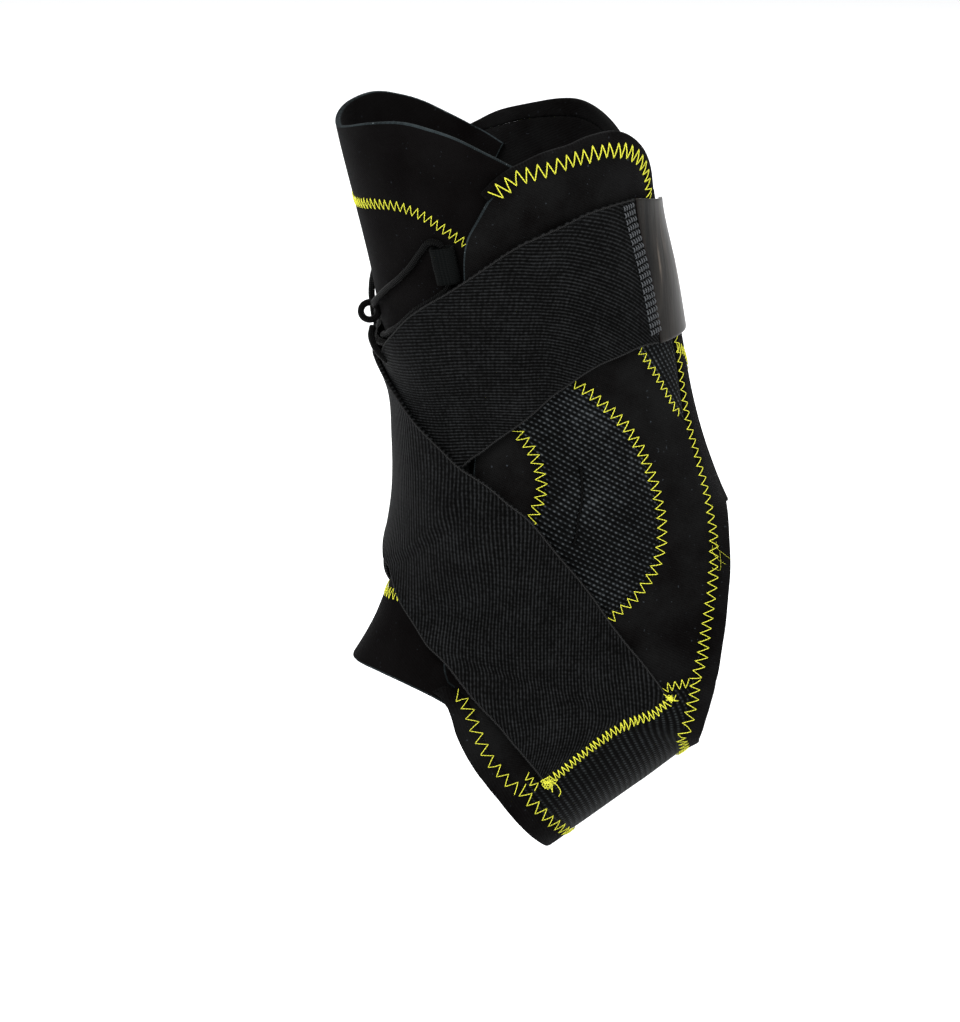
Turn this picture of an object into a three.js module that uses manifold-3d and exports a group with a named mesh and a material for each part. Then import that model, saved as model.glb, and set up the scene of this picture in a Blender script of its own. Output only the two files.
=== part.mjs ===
// Ankle brace in its worn form: two padded quarters, a tongue, a lace, and two elastic straps
// that cross over the instep in a figure of eight.
// Millimetres, +Z up, toes towards -X, outer side of the ankle towards -Y, origin in the ankle.
import * as THREE from "three";
import { mergeVertices } from "three/addons/utils/BufferGeometryUtils.js";
import Module from "manifold-3d";

const wasm = await Module();
wasm.setup();

// Walls and clearances
const SKIN_GAP = 0.4;
const SEAM_GAP = 0.3;
const LAYER_GAP = 0.45;
const STRAP_SPARE = 0.25;
const CROSS_SPARE = 0.15;
const MESH_SINK = 0.5;
const CUT_UNDER = 3;
const CUT_OVER = 6;
const TONGUE_WALL = 1.8;
const QUARTER_WALL = 2.5;
const BINDING_WALL = 2.6;
const MESH_WALL = 1.4;
const STRAP_WALL = 1.2;
const TAB_WALL = 1.3;

// Lace and its ribbon loops
const CORD_RADIUS = 1.1;
const CORD_SIDES = 8;
const LACE_STEPS = 56;
const KNOT_RADIUS = 2.7;
const KNOT_TURNS = 1.2;
const KNOT_PITCH = 2.6;
const KNOT_STEPS = 18;
const BOW_STEPS = 8;
const RIBBON_WALL = 0.35;
const RIBBON_HOLE = 2.8;
const RIBBON_WIDTH = 8;
const RIBBON_LENGTH = 12;
const RIBBON_CORNER = 2;
const RIBBON_SHOULDER = 0.7;
const RIBBON_STAND = 0.4;
const LACE_STAND = 0.8;

// Heights above the foot form
const TONGUE_TOP = SKIN_GAP + TONGUE_WALL;
const TONGUE_LIFT = TONGUE_WALL + LAYER_GAP;
const STRAP_BASE = SKIN_GAP + BINDING_WALL + LAYER_GAP;
const RIBBON_FOOT = TONGUE_TOP + RIBBON_STAND;
const RIBBON_HEIGHT = RIBBON_HOLE + 2 * RIBBON_WALL;
const STRAP_LIFT = RIBBON_FOOT + RIBBON_HEIGHT + LAYER_GAP + STRAP_SPARE - STRAP_BASE;
const CROSS_LIFT = STRAP_WALL + LAYER_GAP + CROSS_SPARE;
const LACE_REST = TONGUE_TOP + CORD_RADIUS + LACE_STAND;
const INSTEP_DIP = 0.32;

// Where the heights change. Degrees past the tongue's edge, degrees from the front, shares along
const QUARTER_RISE = [5, 16];
const STRAP_RISE = [6, 21];
const DIP_RISE = [8, 40];
const CROSS_RISE = [-0.05, -0.02];
const FULL_TURN = 360;
const HALF_TURN = 180;

// The foot form: one row for each flat section, fanned round the instep from leg to toes.
// Columns: front X and Z, back X and Z, outer and inner half width, as shares of the form's length,
// height and width, and how much fuller the section is behind than in front
const FORM_LENGTH = 165;
const FORM_HEIGHT = 270;
const FORM_WIDTH = 88;
const FORM = [
  [-0.4455, 0.5167, 0.1485, 0.5093, 0.5, 0.5, 0],
  [-0.4242, 0.4444, 0.1606, 0.4315, 0.4886, 0.4886, 0],
  [-0.3939, 0.3667, 0.1667, 0.3537, 0.4659, 0.4659, 0.02],
  [-0.3636, 0.2889, 0.197, 0.2704, 0.4375, 0.4375, 0.04],
  [-0.3364, 0.2093, 0.2212, 0.1889, 0.4091, 0.4148, 0.05],
  [-0.2909, 0.1352, 0.2455, 0.113, 0.392, 0.4034, 0.05],
  [-0.2818, 0.0685, 0.2788, 0.0444, 0.3977, 0.4148, 0.03],
  [-0.2818, 0.0056, 0.3273, -0.0259, 0.4205, 0.4375, 0],
  [-0.2939, -0.0463, 0.403, -0.1, 0.4148, 0.4318, 0.03],
  [-0.3121, -0.0889, 0.4606, -0.1778, 0.392, 0.4091, 0.08],
  [-0.3364, -0.1222, 0.4667, -0.2519, 0.3864, 0.392, 0.14],
  [-0.3576, -0.1537, 0.4091, -0.2944, 0.392, 0.3864, 0.18],
  [-0.3818, -0.1815, 0.2848, -0.3007, 0.4091, 0.3864, 0.18],
  [-0.4121, -0.2111, 0.1606, -0.3481, 0.4318, 0.3864, 0.16],
  [-0.4455, -0.2444, 0.0455, -0.3944, 0.4545, 0.392, 0.14],
  [-0.4848, -0.2815, -0.0576, -0.4352, 0.4773, 0.4091, 0.12],
  [-0.5333, -0.3259, -0.1485, -0.4815, 0.5, 0.4375, 0.1],
];
const SQUARENESS = 2.2;
const OUTER = 1;
const INNER = -1;

// Lines on the form. Columns: along (share of the form from leg to toes), around (degrees from
// the front, positive on the outer side). The inner side is a mirror of the outer one.
const TOP_SEAM = [
  [0.105, 79.5], [0.091, 85], [0.081, 90], [0.074, 98], [0.067, 107], [0.062, 119],
  [0.061, 130], [0.067, 139], [0.079, 146], [0.093, 150], [0.11, 152],
];
const TOP_EDGE = [
  [0.098, 77.5], [0.085, 82.5], [0.072, 89], [0.06, 97], [0.053, 107], [0.046, 120],
  [0.045, 131], [0.053, 141], [0.068, 150], [0.088, 157], [0.108, 160],
];
const REAR_SEAM = [
  [0.11, 152], [0.15, 154], [0.2, 154.5], [0.251, 154], [0.274, 153], [0.305, 150.5],
  [0.33, 149], [0.358, 148.5], [0.389, 147], [0.418, 144], [0.449, 138], [0.477, 130],
  [0.511, 122.5], [0.54, 117.5], [0.57, 114.5], [0.618, 112],
];
const BACK_EDGE = [
  [0.108, 160], [0.15, 164], [0.2, 166], [0.3, 166], [0.39, 166.5], [0.428, 164],
];
const BACK_TOP_LINE = [[0.162, 172], [0.165, 180]];
const BACK_BOTTOM_LINE = [[0.431, 172], [0.433, 180]];
const OPENING_EDGE = [
  [0.428, 164], [0.445, 154], [0.465, 144.5], [0.49, 136], [0.52, 128.5], [0.55, 123.5],
  [0.58, 120.5], [0.615, 119],
];
const HEEL_SEAM = [
  [0.618, 112], [0.659, 114.5], [0.69, 118.5], [0.723, 127], [0.748, 140], [0.766, 154],
  [0.776, 167], [0.779, 180],
];
const HEEL_EDGE = [
  [0.615, 119], [0.65, 120], [0.683, 123.5], [0.708, 130], [0.73, 141], [0.747, 154],
  [0.756, 167], [0.759, 180],
];
const SOLE_SEAM = [
  [0.618, 112], [0.632, 108], [0.643, 103.5], [0.67, 102], [0.75, 103], [0.82, 103],
  [0.858, 102],
];
const FOOT_SEAM = [
  [0.758, 57.5], [0.77, 65.5], [0.787, 71.5], [0.808, 77.5], [0.826, 83.5], [0.842, 90],
  [0.852, 96], [0.858, 102],
];
const FOOT_SEAM_UNDER = [
  [0.858, 102], [0.866, 108], [0.874, 116], [0.882, 127], [0.889, 141], [0.894, 155],
  [0.897, 168], [0.898, 180],
];
const FOOT_EDGE = [
  [0.781, 55], [0.789, 61], [0.806, 66.5], [0.828, 72.5], [0.847, 79.5], [0.863, 87],
  [0.876, 94], [0.884, 100],
];
const FOOT_EDGE_UNDER = [
  [0.884, 100], [0.893, 107], [0.902, 116], [0.91, 127], [0.917, 141], [0.922, 155],
  [0.924, 168], [0.925, 180],
];
const FRONT_EDGE = [
  [0.105, 79.5], [0.124, 74.5], [0.14, 70], [0.158, 67], [0.18, 65], [0.22, 62.5],
  [0.28, 58.5], [0.34, 54], [0.38, 51], [0.43, 47.5], [0.5, 44.5], [0.57, 43],
  [0.62, 43], [0.66, 44.5], [0.7, 48], [0.735, 52.5], [0.758, 57.5],
];
const MESH_FRONT = [
  [0.258, 74], [0.28, 70.5], [0.31, 69.5], [0.334, 71.5], [0.348, 74.5], [0.368, 76.5],
  [0.387, 77], [0.408, 75.5], [0.438, 70.5], [0.48, 66.5], [0.54, 65.5], [0.6, 69],
];
const MESH_REAR = [
  [0.258, 78], [0.266, 87], [0.279, 96], [0.3, 104], [0.322, 110.5], [0.348, 115],
  [0.379, 117], [0.408, 117], [0.437, 114.5], [0.463, 110], [0.489, 104], [0.513, 98],
  [0.538, 92], [0.558, 88], [0.583, 81], [0.6, 73],
];
const WEDGE_FRONT = [
  [0.185, 117], [0.22, 121.5], [0.246, 126], [0.26, 129], [0.274, 132.5], [0.291, 136],
  [0.31, 140.5], [0.326, 146.5],
];
const WEDGE_REAR = [
  [0.185, 152.5], [0.22, 152.8], [0.251, 152.5], [0.274, 151.5], [0.3, 149.7], [0.326, 148],
];
const TONGUE_EDGE = [
  [0.05, 100], [0.1, 96], [0.16, 82], [0.25, 72], [0.35, 63], [0.45, 58], [0.55, 57],
  [0.63, 58], [0.7, 63], [0.8, 72],
];
const TONGUE_TOP_LINE = [
  [0.091, 98], [0.074, 89], [0.062, 81.5], [0.05, 72], [0.043, 62], [0.039, 50], [0.043, 34],
  [0.051, 15], [0.056, 0],
];
const TONGUE_UPPER_SEAM = [
  [0.165, 81], [0.147, 67.5], [0.133, 58.5], [0.123, 50], [0.119, 41], [0.12, 30],
  [0.125, 14], [0.128, 0],
];
const TONGUE_LOWER_SEAM = [[0.63, 58], [0.608, 30], [0.615, 14], [0.625, 0]];
const TONGUE_TOE_LINE = [
  [0.8, 72], [0.79, 59], [0.787, 48], [0.787, 36], [0.79, 23], [0.796, 10], [0.799, 0],
];
const STRAP_UPPER = [
  [0.66, 107.5], [0.64, 104], [0.606, 97], [0.573, 91], [0.52, 85.5], [0.477, 79],
  [0.434, 71.5], [0.413, 63.5], [0.391, 55], [0.379, 48.5], [0.358, 39.5], [0.332, 25.5],
  [0.303, 12], [0.28, 0], [0.258, -14], [0.239, -28], [0.22, -39], [0.203, -50],
  [0.189, -59.5], [0.167, -72.5], [0.148, -83.5], [0.134, -93], [0.124, -103],
  [0.115, -115], [0.11, -126], [0.108, -136],
];
const STRAP_LOWER = [
  [0.842, 107.5], [0.833, 101.5], [0.819, 93], [0.797, 82.5], [0.776, 71], [0.757, 63],
  [0.73, 53], [0.697, 43.5], [0.647, 32.5], [0.611, 21], [0.565, 8], [0.52, -7],
  [0.475, -22], [0.425, -36], [0.379, -48.5], [0.358, -57.5], [0.341, -64.5],
  [0.317, -75.5], [0.291, -87.5], [0.274, -96], [0.26, -105.5], [0.251, -116],
  [0.244, -126], [0.243, -136],
];
const TAB_UPPER = [[0.108, 136.6], [0.113, 150], [0.117, 162], [0.12, 173]];
const TAB_LOWER = [[0.243, 136.6], [0.241, 150], [0.24, 162], [0.24, 173]];

// Half of the lace, from the middle of the lowest bar to the knot. The other half is its mirror
// and crosses under it.
// Columns: along, around, lift off the tongue in cord diameters, the same for the under half
const LACE_ROUTE = [
  [0.434, 0.4, 0, 0], [0.432, 20, 0, 0], [0.426, 35, 0.05, 0.05],
  [0.413, 42.6, 0.09, 0.09], [0.4, 43, 0.11, 0.11], [0.382, 43, 0.11, 0.11],
  [0.364, 43, 0.11, 0.11], [0.34, 46, 0.14, 0.14], [0.319, 49, 0.2, 0.2],
  [0.3, 49.2, 0.27, 0.27], [0.283, 49, 0.2, 0.2], [0.276, 43, 0.05, 0.05],
  [0.269, 30, 0, -0.05], [0.264, 18, 0, -0.09], [0.2595, 9, 0.23, -0.14],
  [0.2575, 4, 0.91, -0.14], [0.2555, 0, 1.14, -0.14], [0.2535, -4, 0.91, -0.14],
  [0.2515, -9, 0.23, -0.14], [0.246, -16, 0, -0.09], [0.236, -27, 0, -0.05],
  [0.217, -40, 0, 0], [0.201, -52, 0.05, 0.05], [0.188, -58.3, 0.11, 0.11],
  [0.168, -58.8, 0.11, 0.11], [0.15, -58.4, 0.11, 0.11], [0.148, -54, 0.05, 0.05],
  [0.158, -49, 0, 0], [0.172, -43, 0, 0], [0.188, -34, 0, 0],
  [0.204, -22, 0.09, 0.09],
];
const OVER_END = [[0.22, -12, 0.23], [0.232, -8.5, 0.32], [0.2405, -5.2, 0.41]];
const UNDER_END = [[0.216, -12, 0.23], [0.2225, -5.5, 0.36]];
const BOW_ROUTE = [
  [0.2445, 1, 1.32], [0.25, 3, 2.05], [0.258, 5, 2.41], [0.265, 6.5, 2.32], [0.271, 8, 1.95],
];
const KNOT_PLACE = [0.232, 0, 1];
// Columns: along, around, lift of the loop's foot in cord diameters
const LOOP_PLACES = [[0.168, 58.8, 0], [0.3, 49.2, 0.16], [0.382, 43, 0]];

// Numbers of cells in each grid
const TONGUE_CELLS = 7;
const TOP_CELLS = 10;
const BACK_PANEL_START = 2;
const CRESCENT_CELLS = 12;
const WEDGE_CELLS = 6;
const WEDGE_OVERCUT = 5;
const BACK_CELLS = 11;
const OPENING_CELLS = 8;
const HEEL_CELLS = 10;
const SOLE_CELLS = 6;
const STRAP_CELLS = 36;
const STRAP_CELLS_WIDE = 6;
const TAB_CELLS = 5;
const TONGUE_TOP_CELLS = 4;
const TONGUE_MIDDLE_CELLS = 13;
const TONGUE_TOE_CELLS = 5;
const BINDING_CELLS_WIDE = 2;
const CRESCENT_CELLS_WIDE = 4;
const WEDGE_CELLS_WIDE = 3;
const BACK_PANEL_CELLS_WIDE = 4;

const MATERIAL = {
  neoprene: new THREE.MeshStandardMaterial({ color: 0x17181a, roughness: 0.85, metalness: 0 }),
  jersey: new THREE.MeshStandardMaterial({ color: 0x141416, roughness: 0.8, metalness: 0 }),
  openMesh: new THREE.MeshStandardMaterial({ color: 0x1e2022, roughness: 0.9, metalness: 0 }),
  elastic: new THREE.MeshStandardMaterial({ color: 0x1b1c1e, roughness: 0.75, metalness: 0 }),
  plastic: new THREE.MeshStandardMaterial({ color: 0x4b4744, roughness: 0.3, metalness: 0 }),
  cord: new THREE.MeshStandardMaterial({ color: 0x121315, roughness: 0.6, metalness: 0 }),
};

const radians = THREE.MathUtils.degToRad;

// Rounded line through rows of numbers, at a share of 0 to 1.
function through(rows, share) {
  const place = THREE.MathUtils.clamp(share, 0, 1) * (rows.length - 1);
  const i = Math.min(Math.floor(place), rows.length - 2);
  const u = place - i;
  const row = (k) => rows[THREE.MathUtils.clamp(k, 0, rows.length - 1)];
  return rows[0].map((_, c) => {
    const [a, b, d, e] = [row(i - 1)[c], row(i)[c], row(i + 1)[c], row(i + 2)[c]];
    const bend = 2 * a - 5 * b + 4 * d - e;
    const twist = 3 * b - a - 3 * d + e;
    return 0.5 * (2 * b + (d - a) * u + bend * u * u + twist * u * u * u);
  });
}

// Point of the bare form.
function skin(along, around) {
  const row = through(FORM, along);
  const [frontX, backX] = [row[0] * FORM_LENGTH, row[2] * FORM_LENGTH];
  const [frontZ, backZ] = [row[1] * FORM_HEIGHT, row[3] * FORM_HEIGHT];
  const [, , , , outer, inner, belly] = row;
  const c = Math.cos(radians(around));
  const s = Math.sin(radians(around));
  const power = 2 / SQUARENESS;
  const lengthwise = Math.sign(c) * Math.abs(c) ** power;
  const sideways = Math.sign(s) * Math.abs(s) ** power;
  const width = (s > 0 ? outer : inner) * FORM_WIDTH * (1 - belly * c);
  return new THREE.Vector3(
    (frontX + backX) / 2 + ((frontX - backX) / 2) * lengthwise,
    -width * sideways,
    (frontZ + backZ) / 2 + ((frontZ - backZ) / 2) * lengthwise,
  );
}

// Directions at a point of the form: outwards, towards the toes, and round to the outer side.
function axes(along, around) {
  const step = 0.001;
  const turn = 0.06;
  const toes = skin(Math.min(along + step, 1), around).sub(skin(Math.max(along - step, 0), around));
  const round = skin(along, around + turn).sub(skin(along, around - turn));
  const out = new THREE.Vector3().crossVectors(round, toes).normalize();
  const front = skin(along, 0);
  const back = skin(along, 180);
  const centre = front.add(back).multiplyScalar(0.5);
  if (out.dot(skin(along, around).sub(centre)) < 0) out.negate();
  toes.normalize();
  return { out, toes, round: new THREE.Vector3().crossVectors(out, toes) };
}

// Point at a height above the form.
function spot(along, around, height) {
  return skin(along, around).addScaledVector(axes(along, around).out, height);
}

// Stations at equal distances along a line on the form.
function rail(rows, cells) {
  const fine = 20 * (rows.length - 1);
  const line = Array.from({ length: fine + 1 }, (_, k) => through(rows, k / fine));
  const points = line.map(([along, around]) => skin(along, around));
  const reach = [0];
  for (let k = 1; k <= fine; k += 1) reach.push(reach[k - 1] + points[k].distanceTo(points[k - 1]));
  return Array.from({ length: cells + 1 }, (_, n) => {
    const wanted = (reach[fine] * n) / cells;
    const k = Math.max(1, reach.findIndex((value) => value >= wanted - 1e-9));
    const u = (wanted - reach[k - 1]) / (reach[k] - reach[k - 1] || 1);
    return line[k].map((value, c) => line[k - 1][c] + (value - line[k - 1][c]) * u);
  });
}

const joined = (...rails) => rails.flatMap((part, k) => (k ? part.slice(1) : part));
const reversed = (stations) => [...stations].reverse();
const on = (side, stations) => stations.map(([along, around, ...rest]) => [along, side * around, ...rest]);
const turned = (stations) => stations.map(([along, around]) => [along, FULL_TURN - around]);
const straight = (from, to, cells) =>
  Array.from({ length: cells + 1 }, (_, k) =>
    from.map((value, c) => value + ((to[c] - value) * k) / cells));

// Stations filling the four-sided patch between four border lines.
function patch({ top, bottom, left, right }) {
  const wide = top.length - 1;
  const tall = left.length - 1;
  return left.map((leftStation, j) => {
    const v = j / tall;
    return top.map((topStation, i) => {
      const u = i / wide;
      return [0, 1].map((c) => {
        const across = (1 - v) * topStation[c] + v * bottom[i][c];
        const down = (1 - u) * leftStation[c] + u * right[j][c];
        const corners =
          (1 - v) * ((1 - u) * top[0][c] + u * top[wide][c]) +
          v * ((1 - u) * bottom[0][c] + u * bottom[wide][c]);
        return across + down - corners;
      });
    });
  });
}

// Border places of a grid, in order round it.
function rim(tall, wide) {
  const places = [];
  for (let i = 0; i < wide; i += 1) places.push([0, i]);
  for (let j = 0; j < tall; j += 1) places.push([j, wide]);
  for (let i = wide; i > 0; i -= 1) places.push([tall, i]);
  for (let j = tall; j > 0; j -= 1) places.push([j, 0]);
  return places;
}

// The points of one face of a patch, its border drawn in by half a seam gap.
function facePoints(grid, height, drawIn) {
  const tall = grid.length - 1;
  const wide = grid[0].length - 1;
  const full = grid.map((row) => row.map(([along, around]) => spot(along, around, height(along, around))));
  const points = full.map((row) => row.map((point) => point.clone()));
  for (let j = 0; j <= tall; j += 1) {
    for (let i = 0; i <= wide; i += 1) {
      const pull = (jj, ii) => {
        const way = full[jj][ii].clone().sub(full[j][i]);
        points[j][i].addScaledVector(way.normalize(), drawIn);
      };
      if (i === 0) pull(j, 1);
      if (i === wide) pull(j, wide - 1);
      if (j === 0) pull(1, i);
      if (j === tall) pull(tall - 1, i);
    }
  }
  return points;
}

// Closed solid between two heights over a patch.
function shell(grid, low, high, drawIn = SEAM_GAP / 2) {
  const tall = grid.length - 1;
  const wide = grid[0].length - 1;
  const faces = [facePoints(grid, low, drawIn), facePoints(grid, high, drawIn)];
  const positions = faces.flatMap((face) => face.flatMap((row) => row.flatMap((p) => p.toArray())));
  const size = (tall + 1) * (wide + 1);
  const at = (side, j, i) => side * size + j * (wide + 1) + i;
  const index = [];
  const quad = (a, b, c, d) => index.push(a, b, c, a, c, d);
  for (let j = 0; j < tall; j += 1) {
    for (let i = 0; i < wide; i += 1) {
      quad(at(1, j, i), at(1, j + 1, i), at(1, j + 1, i + 1), at(1, j, i + 1));
      quad(at(0, j, i), at(0, j, i + 1), at(0, j + 1, i + 1), at(0, j + 1, i));
    }
  }
  const places = rim(tall, wide);
  places.forEach((place, k) => {
    const next = places[(k + 1) % places.length];
    quad(at(0, ...place), at(1, ...place), at(1, ...next), at(0, ...next));
  });
  return facingOut(closed(positions, index));
}

function closed(positions, index) {
  const geometry = new THREE.BufferGeometry();
  geometry.setAttribute("position", new THREE.Float32BufferAttribute(positions, 3));
  geometry.setIndex(index);
  return geometry;
}

// Six times the signed volume tells which way the faces point.
function facingOut(geometry) {
  const at = geometry.getAttribute("position");
  const index = Array.from(geometry.index.array);
  const [a, b, c] = [new THREE.Vector3(), new THREE.Vector3(), new THREE.Vector3()];
  let sum = 0;
  for (let k = 0; k < index.length; k += 3) {
    a.fromBufferAttribute(at, index[k]);
    b.fromBufferAttribute(at, index[k + 1]);
    c.fromBufferAttribute(at, index[k + 2]);
    sum += a.dot(b.cross(c));
  }
  if (sum < 0) index.reverse();
  geometry.setIndex(index);
  return geometry;
}

function asSolid(geometry) {
  const bare = geometry.clone();
  bare.deleteAttribute("normal");
  bare.deleteAttribute("uv");
  const merged = mergeVertices(bare, 1e-4);
  return new wasm.Manifold(new wasm.Mesh({
    numProp: 3,
    vertProperties: new Float32Array(merged.getAttribute("position").array),
    triVerts: new Uint32Array(merged.index.array),
  }));
}

function asGeometry(solid) {
  const mesh = solid.getMesh();
  return closed(Array.from(mesh.vertProperties), Array.from(mesh.triVerts));
}

const brace = new THREE.Group();

function add(name, geometry, material) {
  geometry.computeVertexNormals();
  const mesh = new THREE.Mesh(geometry, material);
  mesh.name = name;
  brace.add(mesh);
}

// Degrees from the front, whichever side.
function fromFront(around) {
  const turn = THREE.MathUtils.euclideanModulo(around + HALF_TURN, FULL_TURN);
  return Math.abs(turn - HALF_TURN);
}

// Value of the second column where the first column reaches a number.
function lookUp(rows, number) {
  const k = THREE.MathUtils.clamp(rows.findIndex((row) => row[0] >= number), 1, rows.length - 1);
  const last = number > rows[rows.length - 1][0] ? rows.length - 1 : k;
  const [from, to] = [rows[last - 1], rows[last]];
  const u = THREE.MathUtils.clamp((number - from[0]) / (to[0] - from[0]), 0, 1);
  return from[1] + (to[1] - from[1]) * u;
}

// 1 over the tongue, falling to 0 beside it.
function overTongue(along, around) {
  const past = fromFront(around) - lookUp(TONGUE_EDGE, along);
  return 1 - THREE.MathUtils.smoothstep(past, ...QUARTER_RISE);
}

// 1 where the strap passes over the lace loops, less at the middle, falling to 0 at the sides.
function overInstep(along, around) {
  const turn = fromFront(around);
  const past = turn - lookUp(TONGUE_EDGE, along);
  const middle = 1 - THREE.MathUtils.smoothstep(turn, ...DIP_RISE);
  return (1 - INSTEP_DIP * middle) * (1 - THREE.MathUtils.smoothstep(past, ...STRAP_RISE));
}

const byAround = (rows) => rows.map(([along, around]) => [-around, along]);
const UPPER_BY_AROUND = byAround(STRAP_UPPER);
const LOWER_BY_AROUND = byAround(STRAP_LOWER);

// 1 where one strap lies over the other, falling to 0 past the other's edges.
function overStrap(along, around) {
  const upper = lookUp(UPPER_BY_AROUND, around);
  const lower = lookUp(LOWER_BY_AROUND, around);
  const inside = Math.min(along - upper, lower - along);
  return THREE.MathUtils.smoothstep(inside, ...CROSS_RISE);
}

const heights = {
  tongueIn: () => SKIN_GAP,
  tongueOut: () => TONGUE_TOP,
  quarterIn: (a, r) => SKIN_GAP + TONGUE_LIFT * overTongue(a, r),
  quarterOut: (a, r) => heights.quarterIn(a, r) + QUARTER_WALL,
  bindingOut: (a, r) => heights.quarterIn(a, r) + BINDING_WALL,
  meshIn: (a, r) => heights.quarterIn(a, r) + MESH_SINK,
  meshOut: (a, r) => heights.meshIn(a, r) + MESH_WALL,
  underCut: (a, r) => heights.quarterIn(a, r) - CUT_UNDER,
  overCut: (a, r) => heights.quarterIn(a, r) + CUT_OVER,
  strapIn: (a, r) => STRAP_BASE + STRAP_LIFT * overInstep(a, r),
  strapOut: (a, r) => heights.strapIn(a, r) + STRAP_WALL,
  topStrapIn: (a, r) => heights.strapIn(a, r) + CROSS_LIFT * overStrap(a, r),
  topStrapOut: (a, r) => heights.topStrapIn(a, r) + STRAP_WALL,
  tabOut: (a, r) => heights.strapIn(a, r) + TAB_WALL,
};

// Shared lines, so that neighbours meet along the same stations
const topSeam = rail(TOP_SEAM, TOP_CELLS);
const topEdge = rail(TOP_EDGE, TOP_CELLS);
const rearSeam = rail(REAR_SEAM, BACK_CELLS + OPENING_CELLS);
const backEdge = rail(BACK_EDGE, BACK_CELLS);
const openingEdge = rail(OPENING_EDGE, OPENING_CELLS);
const heelSeam = rail(HEEL_SEAM, HEEL_CELLS);
const heelEdge = rail(HEEL_EDGE, HEEL_CELLS);
const soleSeam = rail(SOLE_SEAM, SOLE_CELLS);
const footSeam = rail(FOOT_SEAM, TOP_CELLS);
const footSeamUnder = rail(FOOT_SEAM_UNDER, HEEL_CELLS);
const footEdge = rail(FOOT_EDGE, TOP_CELLS);
const footEdgeUnder = rail(FOOT_EDGE_UNDER, HEEL_CELLS);

// A narrow strip between two matching lines.
function strip(left, right) {
  const last = left.length - 1;
  return patch({
    left,
    right,
    top: straight(left[0], right[0], BINDING_CELLS_WIDE),
    bottom: straight(left[last], right[last], BINDING_CELLS_WIDE),
  });
}

// A tongue section between two border lines, each given from its outer end to the middle.
function tongue(topLine, bottomLine, cellsTall) {
  const whole = (rows) => {
    const line = rail(rows, TONGUE_CELLS);
    return joined(line, reversed(on(INNER, line)));
  };
  const [from, to] = [topLine[0], bottomLine[0]];
  const between = TONGUE_EDGE.filter(([along]) => along > from[0] + 0.02 && along < to[0] - 0.02);
  const left = rail([from, ...between, to], cellsTall);
  const grid = patch({ top: whole(topLine), bottom: whole(bottomLine), left, right: on(INNER, left) });
  return shell(grid, heights.tongueIn, heights.tongueOut);
}

// Patch of the crescent window over the ankle bone.
function crescent(side) {
  const left = on(side, rail(MESH_FRONT, CRESCENT_CELLS));
  const right = on(side, rail(MESH_REAR, CRESCENT_CELLS));
  return patch({
    left,
    right,
    top: straight(left[0], right[0], CRESCENT_CELLS_WIDE),
    bottom: straight(left[CRESCENT_CELLS], right[CRESCENT_CELLS], CRESCENT_CELLS_WIDE),
  });
}

// Patch of the wedge beside the tendon, reaching some degrees past the rear seam when it cuts.
function wedge(side, past) {
  const rear = WEDGE_REAR.map(([along, around]) => [along, around + past]);
  const left = on(side, rail(WEDGE_FRONT, WEDGE_CELLS));
  const right = on(side, rail(rear, WEDGE_CELLS));
  return patch({
    left,
    right,
    top: straight(left[0], right[0], WEDGE_CELLS_WIDE),
    bottom: straight(left[WEDGE_CELLS], right[WEDGE_CELLS], WEDGE_CELLS_WIDE),
  });
}

// Quarter with its two mesh windows cut out.
function quarter(side) {
  const grid = patch({
    top: on(side, topSeam),
    bottom: on(side, footSeam),
    left: on(side, rail(FRONT_EDGE, BACK_CELLS + OPENING_CELLS + SOLE_CELLS)),
    right: on(side, joined(rearSeam, soleSeam)),
  });
  const tool = (window) => asSolid(shell(window, heights.underCut, heights.overCut, -SEAM_GAP / 2));
  const panel = asSolid(shell(grid, heights.quarterIn, heights.quarterOut));
  return asGeometry(panel.subtract(tool(crescent(side))).subtract(tool(wedge(side, WEDGE_OVERCUT))));
}

function windowMesh(grid) {
  return shell(grid, heights.meshIn, heights.meshOut, SEAM_GAP);
}

function edgeBinding(side) {
  const inside = joined(topSeam, rearSeam, heelSeam);
  const outside = joined(topEdge, backEdge, openingEdge, heelEdge);
  const grid = strip(on(side, inside), on(side, outside));
  return shell(grid, heights.quarterIn, heights.bindingOut);
}

function backPanel() {
  const side = backEdge.slice(BACK_PANEL_START);
  const last = side.length - 1;
  const other = turned(side);
  const across = (line, from, to) =>
    rail([from, ...line, ...reversed(turned(line)).slice(1), to], BACK_PANEL_CELLS_WIDE);
  const top = across(BACK_TOP_LINE, side[0], other[0]);
  const bottom = across(BACK_BOTTOM_LINE, side[last], other[last]);
  return shell(patch({ left: side, right: other, top, bottom }), heights.quarterIn, heights.quarterOut);
}

function soleMesh() {
  const left = reversed(soleSeam);
  const top = joined(footSeamUnder, turned(reversed(footSeamUnder)));
  const bottom = joined(heelSeam, turned(reversed(heelSeam)));
  return windowMesh(patch({ left, right: turned(left), top, bottom }));
}

function footBinding() {
  const inside = joined(footSeam, footSeamUnder);
  const outside = joined(footEdge, footEdgeUnder);
  const whole = (line) => joined(line, turned(reversed(line)));
  return shell(strip(whole(inside), whole(outside)), heights.quarterIn, heights.bindingOut);
}

// Patch between two edge lines that run the same way.
function ribbon(side, upperLine, lowerLine, cells, cellsWide) {
  const upper = on(side, rail(upperLine, cells));
  const lower = on(side, rail(lowerLine, cells));
  return patch({
    top: upper,
    bottom: lower,
    left: straight(upper[0], lower[0], cellsWide),
    right: straight(upper[cells], lower[cells], cellsWide),
  });
}

function strap(side, low, high) {
  return shell(ribbon(side, STRAP_UPPER, STRAP_LOWER, STRAP_CELLS, STRAP_CELLS_WIDE), low, high);
}

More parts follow.
